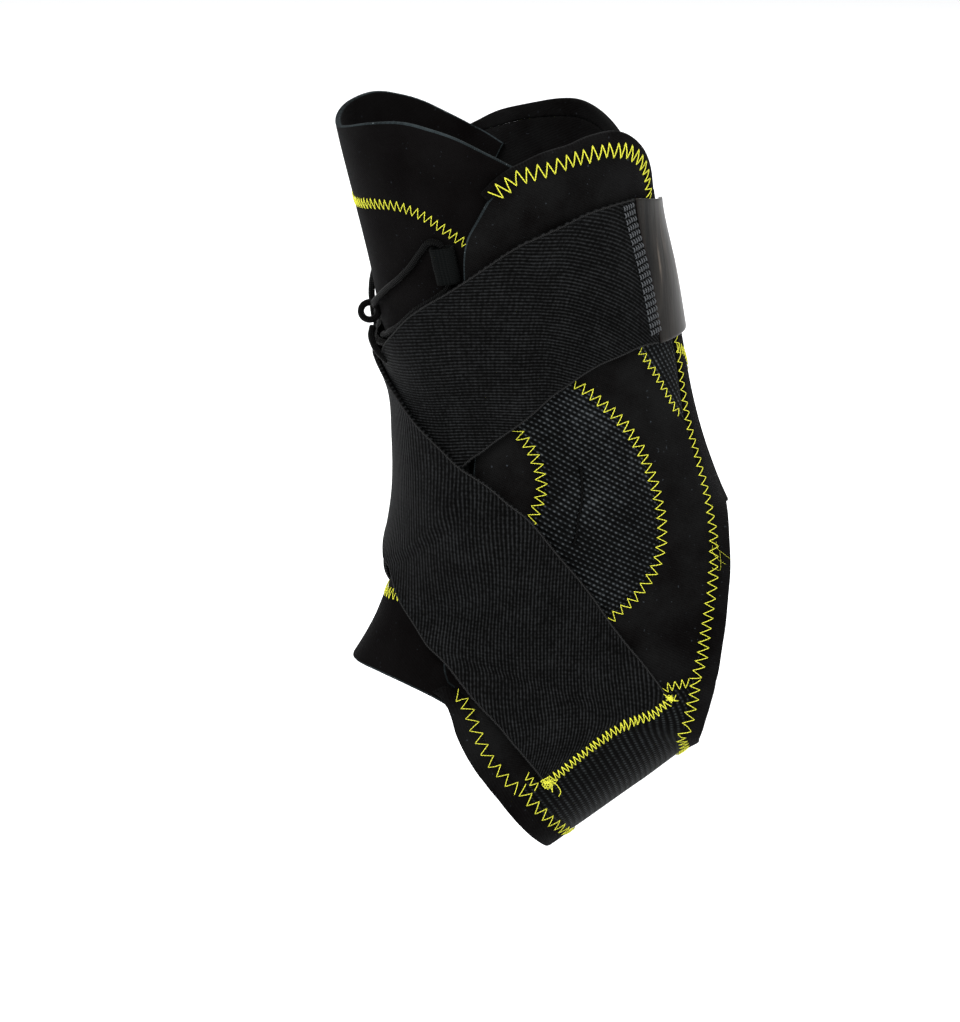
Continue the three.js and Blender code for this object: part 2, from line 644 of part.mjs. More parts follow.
function hookTab(side) {
  const grid = ribbon(side, TAB_UPPER, TAB_LOWER, TAB_CELLS, STRAP_CELLS_WIDE);
  return shell(grid, heights.strapIn, heights.tabOut);
}

// Ribbon loop: a flat tube for the cord, standing on the tongue beside the quarter's edge.
function ribbonLoop(side, [along, around, lift]) {
  const half = RIBBON_WIDTH / 2;
  const shoulder = RIBBON_HEIGHT * RIBBON_SHOULDER;
  const corner = half - RIBBON_CORNER;
  const inside = half - RIBBON_WALL * 2;
  const outline = new THREE.Shape();
  outline.moveTo(-half, 0).lineTo(half, 0).lineTo(half, shoulder);
  outline.quadraticCurveTo(half, RIBBON_HEIGHT, corner, RIBBON_HEIGHT);
  outline.lineTo(-corner, RIBBON_HEIGHT);
  outline.quadraticCurveTo(-half, RIBBON_HEIGHT, -half, shoulder);
  const hole = new THREE.Path();
  hole.moveTo(-inside, RIBBON_WALL).lineTo(inside, RIBBON_WALL);
  hole.lineTo(inside, RIBBON_WALL + RIBBON_HOLE).lineTo(-inside, RIBBON_WALL + RIBBON_HOLE);
  outline.holes.push(hole);
  const geometry = new THREE.ExtrudeGeometry(outline, {
    depth: RIBBON_LENGTH,
    bevelEnabled: false,
    curveSegments: 2,
  });
  geometry.translate(0, 0, -RIBBON_LENGTH / 2);
  const { out, toes } = axes(along, side * around);
  const across = new THREE.Vector3().crossVectors(out, toes);
  const frame = new THREE.Matrix4().makeBasis(across, out, toes);
  frame.setPosition(spot(along, side * around, RIBBON_FOOT + lift * 2 * CORD_RADIUS));
  return geometry.applyMatrix4(frame);
}

// Tube of cord through a list of points.
function cordTube(points, steps) {
  const section = new THREE.Shape();
  for (let k = 0; k < CORD_SIDES; k += 1) {
    const angle = (2 * Math.PI * k) / CORD_SIDES;
    const corner = [CORD_RADIUS * Math.cos(angle), CORD_RADIUS * Math.sin(angle)];
    if (k) section.lineTo(...corner);
    else section.moveTo(...corner);
  }
  const path = new THREE.CatmullRomCurve3(points, false, "centripetal");
  return new THREE.ExtrudeGeometry(section, { steps, extrudePath: path, bevelEnabled: false });
}

// Point of the lace's middle line, its lift given in cord diameters.
function laceSpot([along, around, lift], side = OUTER) {
  return spot(along, side * around, LACE_REST + lift * 2 * CORD_RADIUS);
}

function laceHalf(side, liftColumn, ending) {
  const route = LACE_ROUTE.map((row) => [row[0], row[1], row[liftColumn]]).concat(ending);
  return cordTube(route.map((row) => laceSpot(row, side)), LACE_STEPS);
}

function laceBow() {
  return cordTube(BOW_ROUTE.map((row) => laceSpot(row)), BOW_STEPS);
}

// The knot: a little more than one turn of cord, standing off the tongue.
function laceKnot() {
  const { out, toes, round } = axes(KNOT_PLACE[0], KNOT_PLACE[1]);
  const centre = laceSpot(KNOT_PLACE);
  const points = Array.from({ length: KNOT_STEPS + 1 }, (_, k) => {
    const turns = KNOT_TURNS * (k / KNOT_STEPS - 0.5);
    return centre.clone()
      .addScaledVector(out, KNOT_RADIUS * Math.cos(2 * Math.PI * turns))
      .addScaledVector(toes, KNOT_RADIUS * Math.sin(2 * Math.PI * turns))
      .addScaledVector(round, KNOT_PITCH * turns);
  });
  return cordTube(points, KNOT_STEPS);
}

add("tongue_top", tongue(TONGUE_TOP_LINE, TONGUE_UPPER_SEAM, TONGUE_TOP_CELLS), MATERIAL.jersey);
add("tongue_middle", tongue(TONGUE_UPPER_SEAM, TONGUE_LOWER_SEAM, TONGUE_MIDDLE_CELLS), MATERIAL.jersey);
add("tongue_toe", tongue(TONGUE_LOWER_SEAM, TONGUE_TOE_LINE, TONGUE_TOE_CELLS), MATERIAL.jersey);
add("back_panel", backPanel(), MATERIAL.neoprene);
add("sole_mesh", soleMesh(), MATERIAL.openMesh);
add("foot_binding", footBinding(), MATERIAL.neoprene);
add("lateral_strap", strap(OUTER, heights.topStrapIn, heights.topStrapOut), MATERIAL.elastic);
add("medial_strap", strap(INNER, heights.strapIn, heights.strapOut), MATERIAL.elastic);
add("lace_over", laceHalf(OUTER, 2, OVER_END), MATERIAL.cord);
add("lace_under", laceHalf(INNER, 3, UNDER_END), MATERIAL.cord);
add("lace_knot", laceKnot(), MATERIAL.cord);
add("lace_bow", laceBow(), MATERIAL.cord);
for (const [name, side] of [["lateral", OUTER], ["medial", INNER]]) {
  add(`${name}_quarter`, quarter(side), MATERIAL.neoprene);
  add(`${name}_ankle_mesh`, windowMesh(crescent(side)), MATERIAL.openMesh);
  add(`${name}_rear_mesh`, windowMesh(wedge(side, 0)), MATERIAL.openMesh);
  add(`${name}_edge_binding`, edgeBinding(side), MATERIAL.neoprene);
  add(`${name}_hook_tab`, hookTab(side), MATERIAL.plastic);
  LOOP_PLACES.forEach((place, k) =>
    add(`${name}_lace_loop_${k + 1}`, ribbonLoop(side, place), MATERIAL.elastic));
}

export default brace;
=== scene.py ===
# %% [markdown]
# # An ankle brace in its worn shape
#
# The real object is a black knitted ankle support: two padded side panels with mesh windows, a
# thin smooth tongue, a short lace, and two wide woven elastic straps that cross in front.
# Everything is sewn with bright zigzag thread.
#
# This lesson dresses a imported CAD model. The CAD solids are the frame. Each cloth piece is made
# again here as finely as cloth needs, in the same place.

# %% The frame
import math
import bpy
import numpy as np
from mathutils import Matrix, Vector, geometry


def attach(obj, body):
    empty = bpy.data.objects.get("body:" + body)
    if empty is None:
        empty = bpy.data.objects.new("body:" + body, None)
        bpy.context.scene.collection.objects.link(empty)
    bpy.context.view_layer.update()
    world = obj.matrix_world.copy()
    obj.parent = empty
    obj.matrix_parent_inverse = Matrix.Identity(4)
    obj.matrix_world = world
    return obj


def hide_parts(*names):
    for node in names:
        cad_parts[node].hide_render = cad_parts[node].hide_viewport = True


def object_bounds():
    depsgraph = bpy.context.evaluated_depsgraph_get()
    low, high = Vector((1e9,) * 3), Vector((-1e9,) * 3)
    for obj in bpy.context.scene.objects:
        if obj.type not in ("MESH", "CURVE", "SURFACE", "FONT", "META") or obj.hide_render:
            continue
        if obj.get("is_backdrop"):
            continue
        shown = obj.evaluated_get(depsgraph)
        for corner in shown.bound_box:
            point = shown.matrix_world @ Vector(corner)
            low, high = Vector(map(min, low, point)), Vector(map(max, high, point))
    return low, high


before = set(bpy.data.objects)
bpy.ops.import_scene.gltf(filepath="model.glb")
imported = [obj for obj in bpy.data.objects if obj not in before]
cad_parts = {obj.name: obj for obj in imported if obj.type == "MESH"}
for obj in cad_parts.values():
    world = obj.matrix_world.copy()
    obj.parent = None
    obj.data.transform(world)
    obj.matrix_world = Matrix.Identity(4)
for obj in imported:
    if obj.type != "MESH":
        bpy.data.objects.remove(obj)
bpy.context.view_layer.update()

# %% [markdown]
# ## The camera
#
# The straps are 50 mm wide and take up about 152 pixels, so the photograph has 3.05 pixels to the
# millimetre. It was taken from a little above, nearly square to the outer side. The lens follows
# from that scale and a distance of 1.3 m.

# %% Camera and photograph frame
PHOTO_WIDE, PHOTO_TALL = 960, 1022
PIXELS_PER_MM = 3.05
CAMERA_DISTANCE = 1300.0
CAMERA_TURN = math.radians(-8)
CAMERA_RISE = math.radians(14)
ORIGIN_PIXEL = (560, 490)
SENSOR_MM = 36.0
back = np.array([math.sin(CAMERA_TURN) * math.cos(CAMERA_RISE),
                 -math.cos(CAMERA_TURN) * math.cos(CAMERA_RISE), math.sin(CAMERA_RISE)])
right = np.array([math.cos(CAMERA_TURN), math.sin(CAMERA_TURN), 0.0])
up = np.cross(back, right)
target = (right * (PHOTO_WIDE / 2 - ORIGIN_PIXEL[0]) / PIXELS_PER_MM
          + up * (ORIGIN_PIXEL[1] - PHOTO_TALL / 2) / PIXELS_PER_MM)
camera_data = bpy.data.cameras.new("camera")
camera_data.sensor_width = SENSOR_MM
camera_data.lens = PIXELS_PER_MM * CAMERA_DISTANCE / max(PHOTO_WIDE, PHOTO_TALL) * SENSOR_MM
camera = bpy.data.objects.new("camera", camera_data)
camera.location = Vector((target + back * CAMERA_DISTANCE) / 1000)
camera.rotation_mode = "QUATERNION"
camera.rotation_quaternion = (-Vector(back)).to_track_quat("-Z", "Y")
bpy.context.scene.collection.objects.link(camera)
bpy.context.scene.camera = camera
print("lens in mm:", round(camera_data.lens, 1))

# %% [markdown]
# ## The form
#
# A shoemaker works round a last. Here the last is a table of flat sections, fanned round the
# bend from the top of the brace to its toe end. Every point of the brace is a place on that
# form: a share along it, degrees round it from the front, and a height above it in millimetres.

# %% Sections: front x and z, back x and z, half width outer and inner, narrowing towards the front
FORM_SIZE = np.array([165, 270, 165, 270, 88, 88, 1.0])
FORM = np.array([
    (-0.4455, 0.5167, 0.1485, 0.5093, 0.5, 0.5, 0),
    (-0.4242, 0.4444, 0.1606, 0.4315, 0.4886, 0.4886, 0),
    (-0.3939, 0.3667, 0.1667, 0.3537, 0.4659, 0.4659, 0.02),
    (-0.3636, 0.2889, 0.197, 0.2704, 0.4375, 0.4375, 0.04),
    (-0.3364, 0.2093, 0.2212, 0.1889, 0.4091, 0.4148, 0.05),
    (-0.2909, 0.1352, 0.2455, 0.113, 0.392, 0.4034, 0.05),
    (-0.2818, 0.0685, 0.2788, 0.0444, 0.3977, 0.4148, 0.03),
    (-0.2818, 0.0056, 0.3273, -0.0259, 0.4205, 0.4375, 0),
    (-0.2939, -0.0463, 0.403, -0.1, 0.4148, 0.4318, 0.03),
    (-0.3121, -0.0889, 0.4606, -0.1778, 0.392, 0.4091, 0.08),
    (-0.3364, -0.1222, 0.4667, -0.2519, 0.3864, 0.392, 0.14),
    (-0.3576, -0.1537, 0.4091, -0.2944, 0.392, 0.3864, 0.18),
    (-0.3818, -0.1815, 0.2848, -0.3007, 0.4091, 0.3864, 0.18),
    (-0.4121, -0.2111, 0.1606, -0.3481, 0.4318, 0.3864, 0.16),
    (-0.4455, -0.2444, 0.0455, -0.3944, 0.4545, 0.392, 0.14),
    (-0.4848, -0.2815, -0.0576, -0.4352, 0.4773, 0.4091, 0.12),
    (-0.5333, -0.3259, -0.1485, -0.4815, 0.5, 0.4375, 0.1)]) * FORM_SIZE
SQUARENESS, TINY = 2.2, 1e-12


def through(rows, share):
    """Rounded line through rows of numbers, at shares of 0 to 1."""
    rows = np.asarray(rows, float)
    place = np.clip(np.asarray(share, float), 0, 1) * (len(rows) - 1)
    i = np.minimum(np.floor(place).astype(int), len(rows) - 2)
    u = (place - i)[..., None]
    a, b, d, e = (rows[np.clip(i + k, 0, len(rows) - 1)] for k in (-1, 0, 1, 2))
    bend, twist = 2 * a - 5 * b + 4 * d - e, 3 * b - a - 3 * d + e
    return 0.5 * (2 * b + (d - a) * u + bend * u * u + twist * u ** 3)


def skin(along, around):
    """Points of the bare form, in millimetres."""
    row = np.moveaxis(through(FORM, along), -1, 0)
    c, s = np.cos(np.radians(around)), np.sin(np.radians(around))
    lengthwise = np.sign(c) * np.abs(c) ** (2 / SQUARENESS)
    sideways = np.sign(s) * np.abs(s) ** (2 / SQUARENESS)
    width = np.where(s > 0, row[4], row[5]) * (1 - row[6] * c)
    middle_x, half_x = (row[0] + row[2]) / 2, (row[0] - row[2]) / 2
    middle_z, half_z = (row[1] + row[3]) / 2, (row[1] - row[3]) / 2
    return np.stack([middle_x + half_x * lengthwise, -width * sideways, middle_z + half_z * lengthwise], -1)


def unit(vectors):
    """The same directions at length 1."""
    return vectors / (np.linalg.norm(vectors, axis=-1, keepdims=True) + TINY)


def walked(points):
    """Distance from the first point to each point, along them."""
    return np.concatenate([[0], np.cumsum(np.linalg.norm(np.diff(points, axis=0), axis=1))])


def axes(along, around):
    """Unit directions at places of the form: out of it, towards the toe end, and round it."""
    step, turn = 0.001, 0.06
    toes = skin(np.minimum(along + step, 1), around) - skin(np.maximum(along - step, 0), around)
    round_ = skin(along, around + turn) - skin(along, around - turn)
    out = unit(np.cross(round_, toes))
    centre = (skin(along, 0 * around) + skin(along, 0 * around + 180)) / 2
    out *= np.where(np.sum(out * (skin(along, around) - centre), -1, keepdims=True) < 0, -1, 1)
    toes = unit(toes)
    return out, toes, np.cross(out, toes)


def spot(along, around, height):
    """Points at a height above the form, in millimetres."""
    along, around, height = np.broadcast_arrays(*(np.asarray(v, float) for v in (along, around, height)))
    return skin(along, around) + axes(along, around)[0] * height[..., None]


print("form rows:", len(FORM), " top front at", skin(np.array(0.05), np.array(0.0)).round(1))

# %% [markdown]
# ## Pattern lines
#
# A pattern maker draws the seams first. Each line is a short table of places on the form, and
# both panels that meet at a seam use the same line. The inner side of the brace is a mirror of
# the outer one.

# %% Seam lines as (share along, degrees around)
TOP_SEAM = [
    (0.105, 79.5), (0.091, 85), (0.081, 90), (0.074, 98), (0.067, 107), (0.062, 119),
    (0.061, 130), (0.067, 139), (0.079, 146), (0.093, 150), (0.11, 152)]
TOP_EDGE = [
    (0.098, 77.5), (0.085, 82.5), (0.072, 89), (0.06, 97), (0.053, 107), (0.046, 120),
    (0.045, 131), (0.053, 141), (0.068, 150), (0.088, 157), (0.108, 160)]
REAR_SEAM = [
    (0.11, 152), (0.15, 154), (0.2, 154.5), (0.251, 154), (0.274, 153), (0.305, 150.5),
    (0.33, 149), (0.358, 148.5), (0.389, 147), (0.418, 144), (0.449, 138), (0.477, 130),
    (0.511, 122.5), (0.54, 117.5), (0.57, 114.5), (0.618, 112)]
BACK_EDGE = [(0.108, 160), (0.15, 164), (0.2, 166), (0.3, 166), (0.39, 166.5), (0.428, 164)]
OPENING_EDGE = [
    (0.428, 164), (0.445, 154), (0.465, 144.5), (0.49, 136), (0.52, 128.5), (0.55, 123.5),
    (0.58, 120.5), (0.615, 119)]
HEEL_SEAM = [
    (0.618, 112), (0.659, 114.5), (0.69, 118.5), (0.723, 127), (0.748, 140), (0.766, 154),
    (0.776, 167), (0.779, 180)]
HEEL_EDGE = [
    (0.615, 119), (0.65, 120), (0.683, 123.5), (0.708, 130), (0.73, 141), (0.747, 154),
    (0.756, 167), (0.759, 180)]
SOLE_SEAM = [
    (0.618, 112), (0.632, 108), (0.643, 103.5), (0.67, 102), (0.75, 103), (0.82, 103), (0.858, 102)]
FOOT_SEAM = [
    (0.758, 57.5), (0.77, 65.5), (0.787, 71.5), (0.808, 77.5), (0.826, 83.5), (0.842, 90),
    (0.852, 96), (0.858, 102)]
FOOT_SEAM_UNDER = [
    (0.858, 102), (0.866, 108), (0.874, 116), (0.882, 127), (0.889, 141), (0.894, 155),
    (0.897, 168), (0.898, 180)]
FOOT_EDGE = [
    (0.781, 55), (0.789, 61), (0.806, 66.5), (0.828, 72.5), (0.847, 79.5), (0.863, 87),
    (0.876, 94), (0.884, 100)]
FOOT_EDGE_UNDER = [
    (0.884, 100), (0.893, 107), (0.902, 116), (0.91, 127), (0.917, 141), (0.922, 155),
    (0.924, 168), (0.925, 180)]
FRONT_EDGE = [
    (0.105, 79.5), (0.124, 74.5), (0.14, 70), (0.158, 67), (0.18, 65), (0.22, 62.5),
    (0.28, 58.5), (0.34, 54), (0.38, 51), (0.43, 47.5), (0.5, 44.5), (0.57, 43),
    (0.62, 43), (0.66, 44.5), (0.7, 48), (0.735, 52.5), (0.758, 57.5)]
MESH_FRONT = [
    (0.258, 74), (0.28, 70.5), (0.31, 69.5), (0.334, 71.5), (0.348, 74.5), (0.368, 76.5),
    (0.387, 77), (0.408, 75.5), (0.438, 70.5), (0.48, 66.5), (0.54, 65.5), (0.6, 69)]
MESH_REAR = [
    (0.258, 78), (0.266, 87), (0.279, 96), (0.3, 104), (0.322, 110.5), (0.348, 115),
    (0.379, 117), (0.408, 117), (0.437, 114.5), (0.463, 110), (0.489, 104), (0.513, 98),
    (0.538, 92), (0.558, 88), (0.583, 81), (0.6, 73)]
WEDGE_FRONT = [
    (0.185, 117), (0.22, 121.5), (0.246, 126), (0.26, 129), (0.274, 132.5), (0.291, 136),
    (0.31, 140.5), (0.326, 146.5)]
WEDGE_REAR = [
    (0.185, 152.5), (0.22, 152.8), (0.251, 152.5), (0.274, 151.5), (0.3, 149.7), (0.326, 148)]
TONGUE_EDGE = [
    (0.05, 100), (0.1, 96), (0.16, 82), (0.25, 72), (0.35, 63), (0.45, 58), (0.55, 57),
    (0.63, 58), (0.7, 63), (0.8, 72)]
TONGUE_TOP_LINE = [
    (0.091, 98), (0.074, 89), (0.062, 81.5), (0.05, 72), (0.043, 62), (0.039, 50), (0.043, 34),
    (0.051, 15), (0.056, 0)]
TONGUE_UPPER_SEAM = [
    (0.165, 81), (0.147, 67.5), (0.133, 58.5), (0.123, 50), (0.119, 41), (0.12, 30),
    (0.125, 14), (0.128, 0)]
TONGUE_LOWER_SEAM = [(0.63, 58), (0.608, 30), (0.615, 14), (0.625, 0)]
TONGUE_TOE_LINE = [
    (0.8, 72), (0.79, 59), (0.787, 48), (0.787, 36), (0.79, 23), (0.796, 10), (0.799, 0)]
STRAP_UPPER = [
    (0.66, 107.5), (0.64, 104), (0.606, 97), (0.573, 91), (0.52, 85.5), (0.477, 79),
    (0.434, 71.5), (0.413, 63.5), (0.391, 55), (0.379, 48.5), (0.358, 39.5), (0.332, 25.5),
    (0.303, 12), (0.28, 0), (0.258, -14), (0.239, -28), (0.22, -39), (0.203, -50),
    (0.189, -59.5), (0.167, -72.5), (0.148, -83.5), (0.134, -93), (0.124, -103),
    (0.115, -115), (0.11, -126), (0.108, -136)]
STRAP_LOWER = [
    (0.842, 107.5), (0.833, 101.5), (0.819, 93), (0.797, 82.5), (0.776, 71), (0.757, 63),
    (0.73, 53), (0.697, 43.5), (0.647, 32.5), (0.611, 21), (0.565, 8), (0.52, -7),
    (0.475, -22), (0.425, -36), (0.379, -48.5), (0.358, -57.5), (0.341, -64.5),
    (0.317, -75.5), (0.291, -87.5), (0.274, -96), (0.26, -105.5), (0.251, -116),
    (0.244, -126), (0.243, -136)]
TAB_UPPER = [(0.108, 136.6), (0.113, 150), (0.117, 162), (0.12, 173)]
TAB_LOWER = [(0.243, 136.6), (0.241, 150), (0.24, 162), (0.24, 173)]
OUTER, INNER = 1, -1
SIDES = {"lateral": OUTER, "medial": INNER}

# %% [markdown]
# ## Walls and heights
#
# Real layers lie on each other: tongue, side panel, straps. Each height below is the wall of one
# layer on top of the one beneath, and it swells where a layer climbs over another.

# %% Heights above the form, in millimetres
SKIN_GAP, LAYER_GAP = 0.4, 0.45
TONGUE_WALL, QUARTER_WALL, BINDING_WALL, MESH_WALL = 1.8, 2.5, 2.6, 1.4
STRAP_WALL, TAB_WALL, MESH_SINK, MESH_PUFF = 1.2, 1.3, 0.5, 0.25
CORD_RADIUS = 1.1
RIBBON_WALL, RIBBON_HOLE, RIBBON_WIDTH, RIBBON_LENGTH = 0.35, 2.8, 8, 12
TONGUE_TOP = SKIN_GAP + TONGUE_WALL
TONGUE_LIFT = TONGUE_WALL + LAYER_GAP
STRAP_BASE = SKIN_GAP + BINDING_WALL + LAYER_GAP
RIBBON_REST, STRAP_SLACK, CROSS_SLACK, LACE_GAP = 0.4, 0.25, 0.15, 0.1
RIBBON_FOOT = TONGUE_TOP + RIBBON_REST
RIBBON_HEIGHT = RIBBON_HOLE + 2 * RIBBON_WALL
STRAP_LIFT = RIBBON_FOOT + RIBBON_HEIGHT + LAYER_GAP + STRAP_SLACK - STRAP_BASE
CROSS_LIFT = STRAP_WALL + LAYER_GAP + CROSS_SLACK
LACE_REST = TONGUE_TOP + CORD_RADIUS + LACE_GAP
INSTEP_DIP, END_DROP = 0.32, 0.85
QUARTER_RISE, STRAP_RISE, DIP_RISE, CROSS_RISE = (5, 16), (6, 21), (8, 40), (-0.05, -0.02)
END_AROUND, END_ALONG = (103, 107.5), (0.5, 0.6)


def smooth(value, low, high):
    """0 below low, 1 above high, and an even turn between them."""
    t = np.clip((np.asarray(value, float) - low) / (high - low), 0, 1)
    return t * t * (3 - 2 * t)


def from_front(around):
    return np.abs((np.asarray(around, float) + 180) % 360 - 180)


def past_tongue(along, around):
    table = np.array(TONGUE_EDGE)
    return from_front(around) - np.interp(along, table[:, 0], table[:, 1])


def over_instep(along, around):
    middle = 1 - smooth(from_front(around), *DIP_RISE)
    return (1 - INSTEP_DIP * middle) * (1 - smooth(past_tongue(along, around), *STRAP_RISE))


def on(side, rows):
    """The same line on the outer or the inner side."""
    return np.asarray(rows, float) * (1, side)


def over_strap(along, around):
    """1 where the other strap, the mirrored one, lies below, falling to 0 past its edges."""
    upper, lower = on(INNER, STRAP_UPPER), on(INNER, STRAP_LOWER)
    top = np.interp(around, upper[:, 1], upper[:, 0])
    bottom = np.interp(around, lower[:, 1], lower[:, 0])
    return smooth(np.minimum(along - top, bottom - along), *CROSS_RISE)


def tongue_in(a, r):
    return SKIN_GAP + 0 * a


def tongue_out(a, r):
    return TONGUE_TOP + 0 * a


def quarter_in(a, r):
    return SKIN_GAP + TONGUE_LIFT * (1 - smooth(past_tongue(a, r), *QUARTER_RISE))


def strap_in(a, r):
    end = smooth(from_front(r), *END_AROUND) * smooth(a, *END_ALONG)
    return STRAP_BASE + STRAP_LIFT * over_instep(a, r) - END_DROP * end


def top_strap_in(a, r):
    return strap_in(a, r) + CROSS_LIFT * over_strap(a, r)


print("strap height at the crossing:", round(float(strap_in(0.3, 30.0)), 2), "mm")

# %% [markdown]
# ## Lines as curves with a true length
#
# Stitches are spaced in millimetres, so a seam line has to be walked by its real length on the
# form. `Line` measures a table once and then gives places at any share of that length.

# %% A measured line
class Line:
    def __init__(self, rows):
        fine = through(rows, np.linspace(0, 1, 20 * (len(rows) - 1) + 1))
        self.fine, self.reach = fine, walked(skin(*fine.T))
        self.length = self.reach[-1]

    def at(self, share):
        """Places (along, around) at shares of the length."""
        place = np.asarray(share, float) * self.length
        return np.stack([np.interp(place, self.reach, self.fine[:, c]) for c in (0, 1)], -1)

    def places(self, spacing):
        return self.at(np.linspace(0, 1, max(2, int(round(self.length / spacing)) + 1)))


def under(rows):
    """The mirrored line, continued under the sole or round the back."""
    return np.asarray(rows, float) * (1, -1) + (0, 360)


for name, rows in (("top seam", TOP_SEAM), ("rear seam", REAR_SEAM), ("strap edge", STRAP_UPPER)):
    print(name, round(Line(rows).length), "mm")

# %% [markdown]
# ## Cutting a panel
#
# Cloth is cut flat and then wrapped. `cut` fills an outline, less its windows, with small even
# triangles by constrained Delaunay triangulation, which keeps each cut line exactly. Cutting the
# windows with booleans would work too, but it leaves long thin faces that shade badly on cloth.

# %% Flat pattern with even triangles
PANEL_STEP, ROW_SHARE, EDGE_CLEAR, GRID_CLEAR, SAME_POINT = 1.5, 0.87, 1.25, 0.75, 1e-5


def inside(points, outline, *holes):
    """Which flat points lie inside a closed outline and outside its holes, by counting crossings."""
    x, y = points[:, 0][:, None], points[:, 1][:, None]
    x0, y0 = outline.T
    x1, y1 = np.roll(x0, -1), np.roll(y0, -1)
    rising = (y0 > y) != (y1 > y)
    with np.errstate(divide="ignore", invalid="ignore"):
        cross_x = x0 + (y - y0) * (x1 - x0) / (y1 - y0)
    found = (np.sum(rising & (x < cross_x), axis=1) % 2).astype(bool)
    for hole in holes:
        found &= ~inside(points, hole)
    return found


def nearest(points, others, batch=1500):
    """Distance from each point to the nearest of the others, a batch at a time to save memory."""
    return np.concatenate([np.sqrt(((points[k:k + batch, None] - others[None]) ** 2).sum(-1)).min(1)
                           for k in range(0, len(points), batch)])


def loop(*parts):
    """A closed outline from runs of places, without doubled points."""
    places = np.concatenate([np.asarray(part, float) for part in parts])
    gap = np.linalg.norm((places - np.roll(places, 1, 0)) * (260, 0.6), axis=1)
    return places[gap > 0.2]


def flat_places(along, around, walk=25):
    """Flat place of each point in mm: its distance round and along the form from the piece's middle."""
    shares = np.linspace(0, 1, walk)[:, None]
    mid_along, mid_around = np.median(along), np.median(around)
    still = [np.broadcast_to(v, (walk, len(v))) for v in (along, around)]
    rounds = skin(still[0], mid_around + (around - mid_around) * shares)
    alongs = skin(mid_along + (along - mid_along) * shares, still[1])
    u, v = (np.linalg.norm(np.diff(line, axis=0), axis=2).sum(0) for line in (rounds, alongs))
    return np.stack([u * np.sign(around - mid_around), v * np.sign(along - mid_along)], -1)


def cut(*loops, step=PANEL_STEP):
    """Even triangles inside the first loop and outside the others: places, faces, flat places in mm."""
    nudge = np.array([0.005, 0.5])
    along, around = np.concatenate(loops).T
    along_mm = skin(along + nudge[0], around) - skin(along - nudge[0], around)
    round_mm = skin(along, around + nudge[1]) - skin(along, around - nudge[1])
    scale = np.array([np.linalg.norm(v, axis=1).mean() for v in (round_mm, along_mm)]) / (2 * nudge[::-1])
    flat = [np.asarray(one, float)[:, ::-1] * scale for one in loops]
    low, high = flat[0].min(0), flat[0].max(0)
    columns = np.arange(low[0], high[0], step)
    rows = np.arange(low[1], high[1], step * ROW_SHARE)
    grid = np.array([(x + (k % 2) * step / 2, y) for k, y in enumerate(rows) for x in columns])
    grid = grid[inside(grid, *flat)]
    grid = grid[nearest(grid, np.concatenate(flat)) > max(EDGE_CLEAR, GRID_CLEAR * step)]
    edges, start = [], 0
    for one in flat:
        edges += [(start + k, start + (k + 1) % len(one)) for k in range(len(one))]
        start += len(one)
    points = [Vector(p) for p in np.concatenate(flat + [grid])]
    made = geometry.delaunay_2d_cdt(points, edges, [], 0, SAME_POINT)
    verts, faces = np.array([tuple(v) for v in made[0]]), np.array(made[2])
    faces = faces[inside(verts[faces].mean(1), *flat)]
    used, faces = np.unique(faces, return_inverse=True)
    places = verts[used][:, ::-1] / scale[::-1]
    return places, faces.reshape(-1, 3), flat_places(*places.T)


# %% [markdown]
# ## Wrapping it round the form
#
# `sew` lays the flat piece round the form twice, once for each face, and joins the two with a
# rounded rim, so that each piece is one closed body with the wall of real cloth. Along a seam the
# face is pulled down, as stitches pull soft padding down.

# %% Closed cloth pieces
def mesh_object(name, points, faces, flat):
    """A smooth Blender object from points in millimetres, with a flat place in mm for each point."""
    mesh = bpy.data.meshes.new(name)
    mesh.from_pydata((points / 1000).tolist(), [], faces)
    corner = np.empty(len(mesh.loops), np.int32)
    mesh.loops.foreach_get("vertex_index", corner)
    layer = mesh.uv_layers.new(name="pattern")
    layer.data.foreach_set("uv", flat.astype(np.float32)[corner].ravel())
    mesh.shade_smooth()
    piece = bpy.data.objects.new(name, mesh)
    bpy.context.scene.collection.objects.link(piece)
    return piece


def border(faces):
    """Edges that only one triangle uses, each in that triangle's direction."""
    edges = np.concatenate([faces[:, [0, 1]], faces[:, [1, 2]], faces[:, [2, 0]]])
    _, first, count = np.unique(np.sort(edges, axis=1), axis=0, return_index=True, return_counts=True)
    return edges[first[count == 1]]


def on_form(lines):
    """Points of several lines on the form, as one array."""
    return np.concatenate([skin(*np.asarray(line).T) for line in lines])


RIM_TURNS, RIM_ROUND, RIM_GAP = np.radians([50, 18, -18, -50]), 0.6, 0.02
SEAM_DIP, SEAM_SPREAD, FREE_REACH = 0.55, 1.5, 2.2


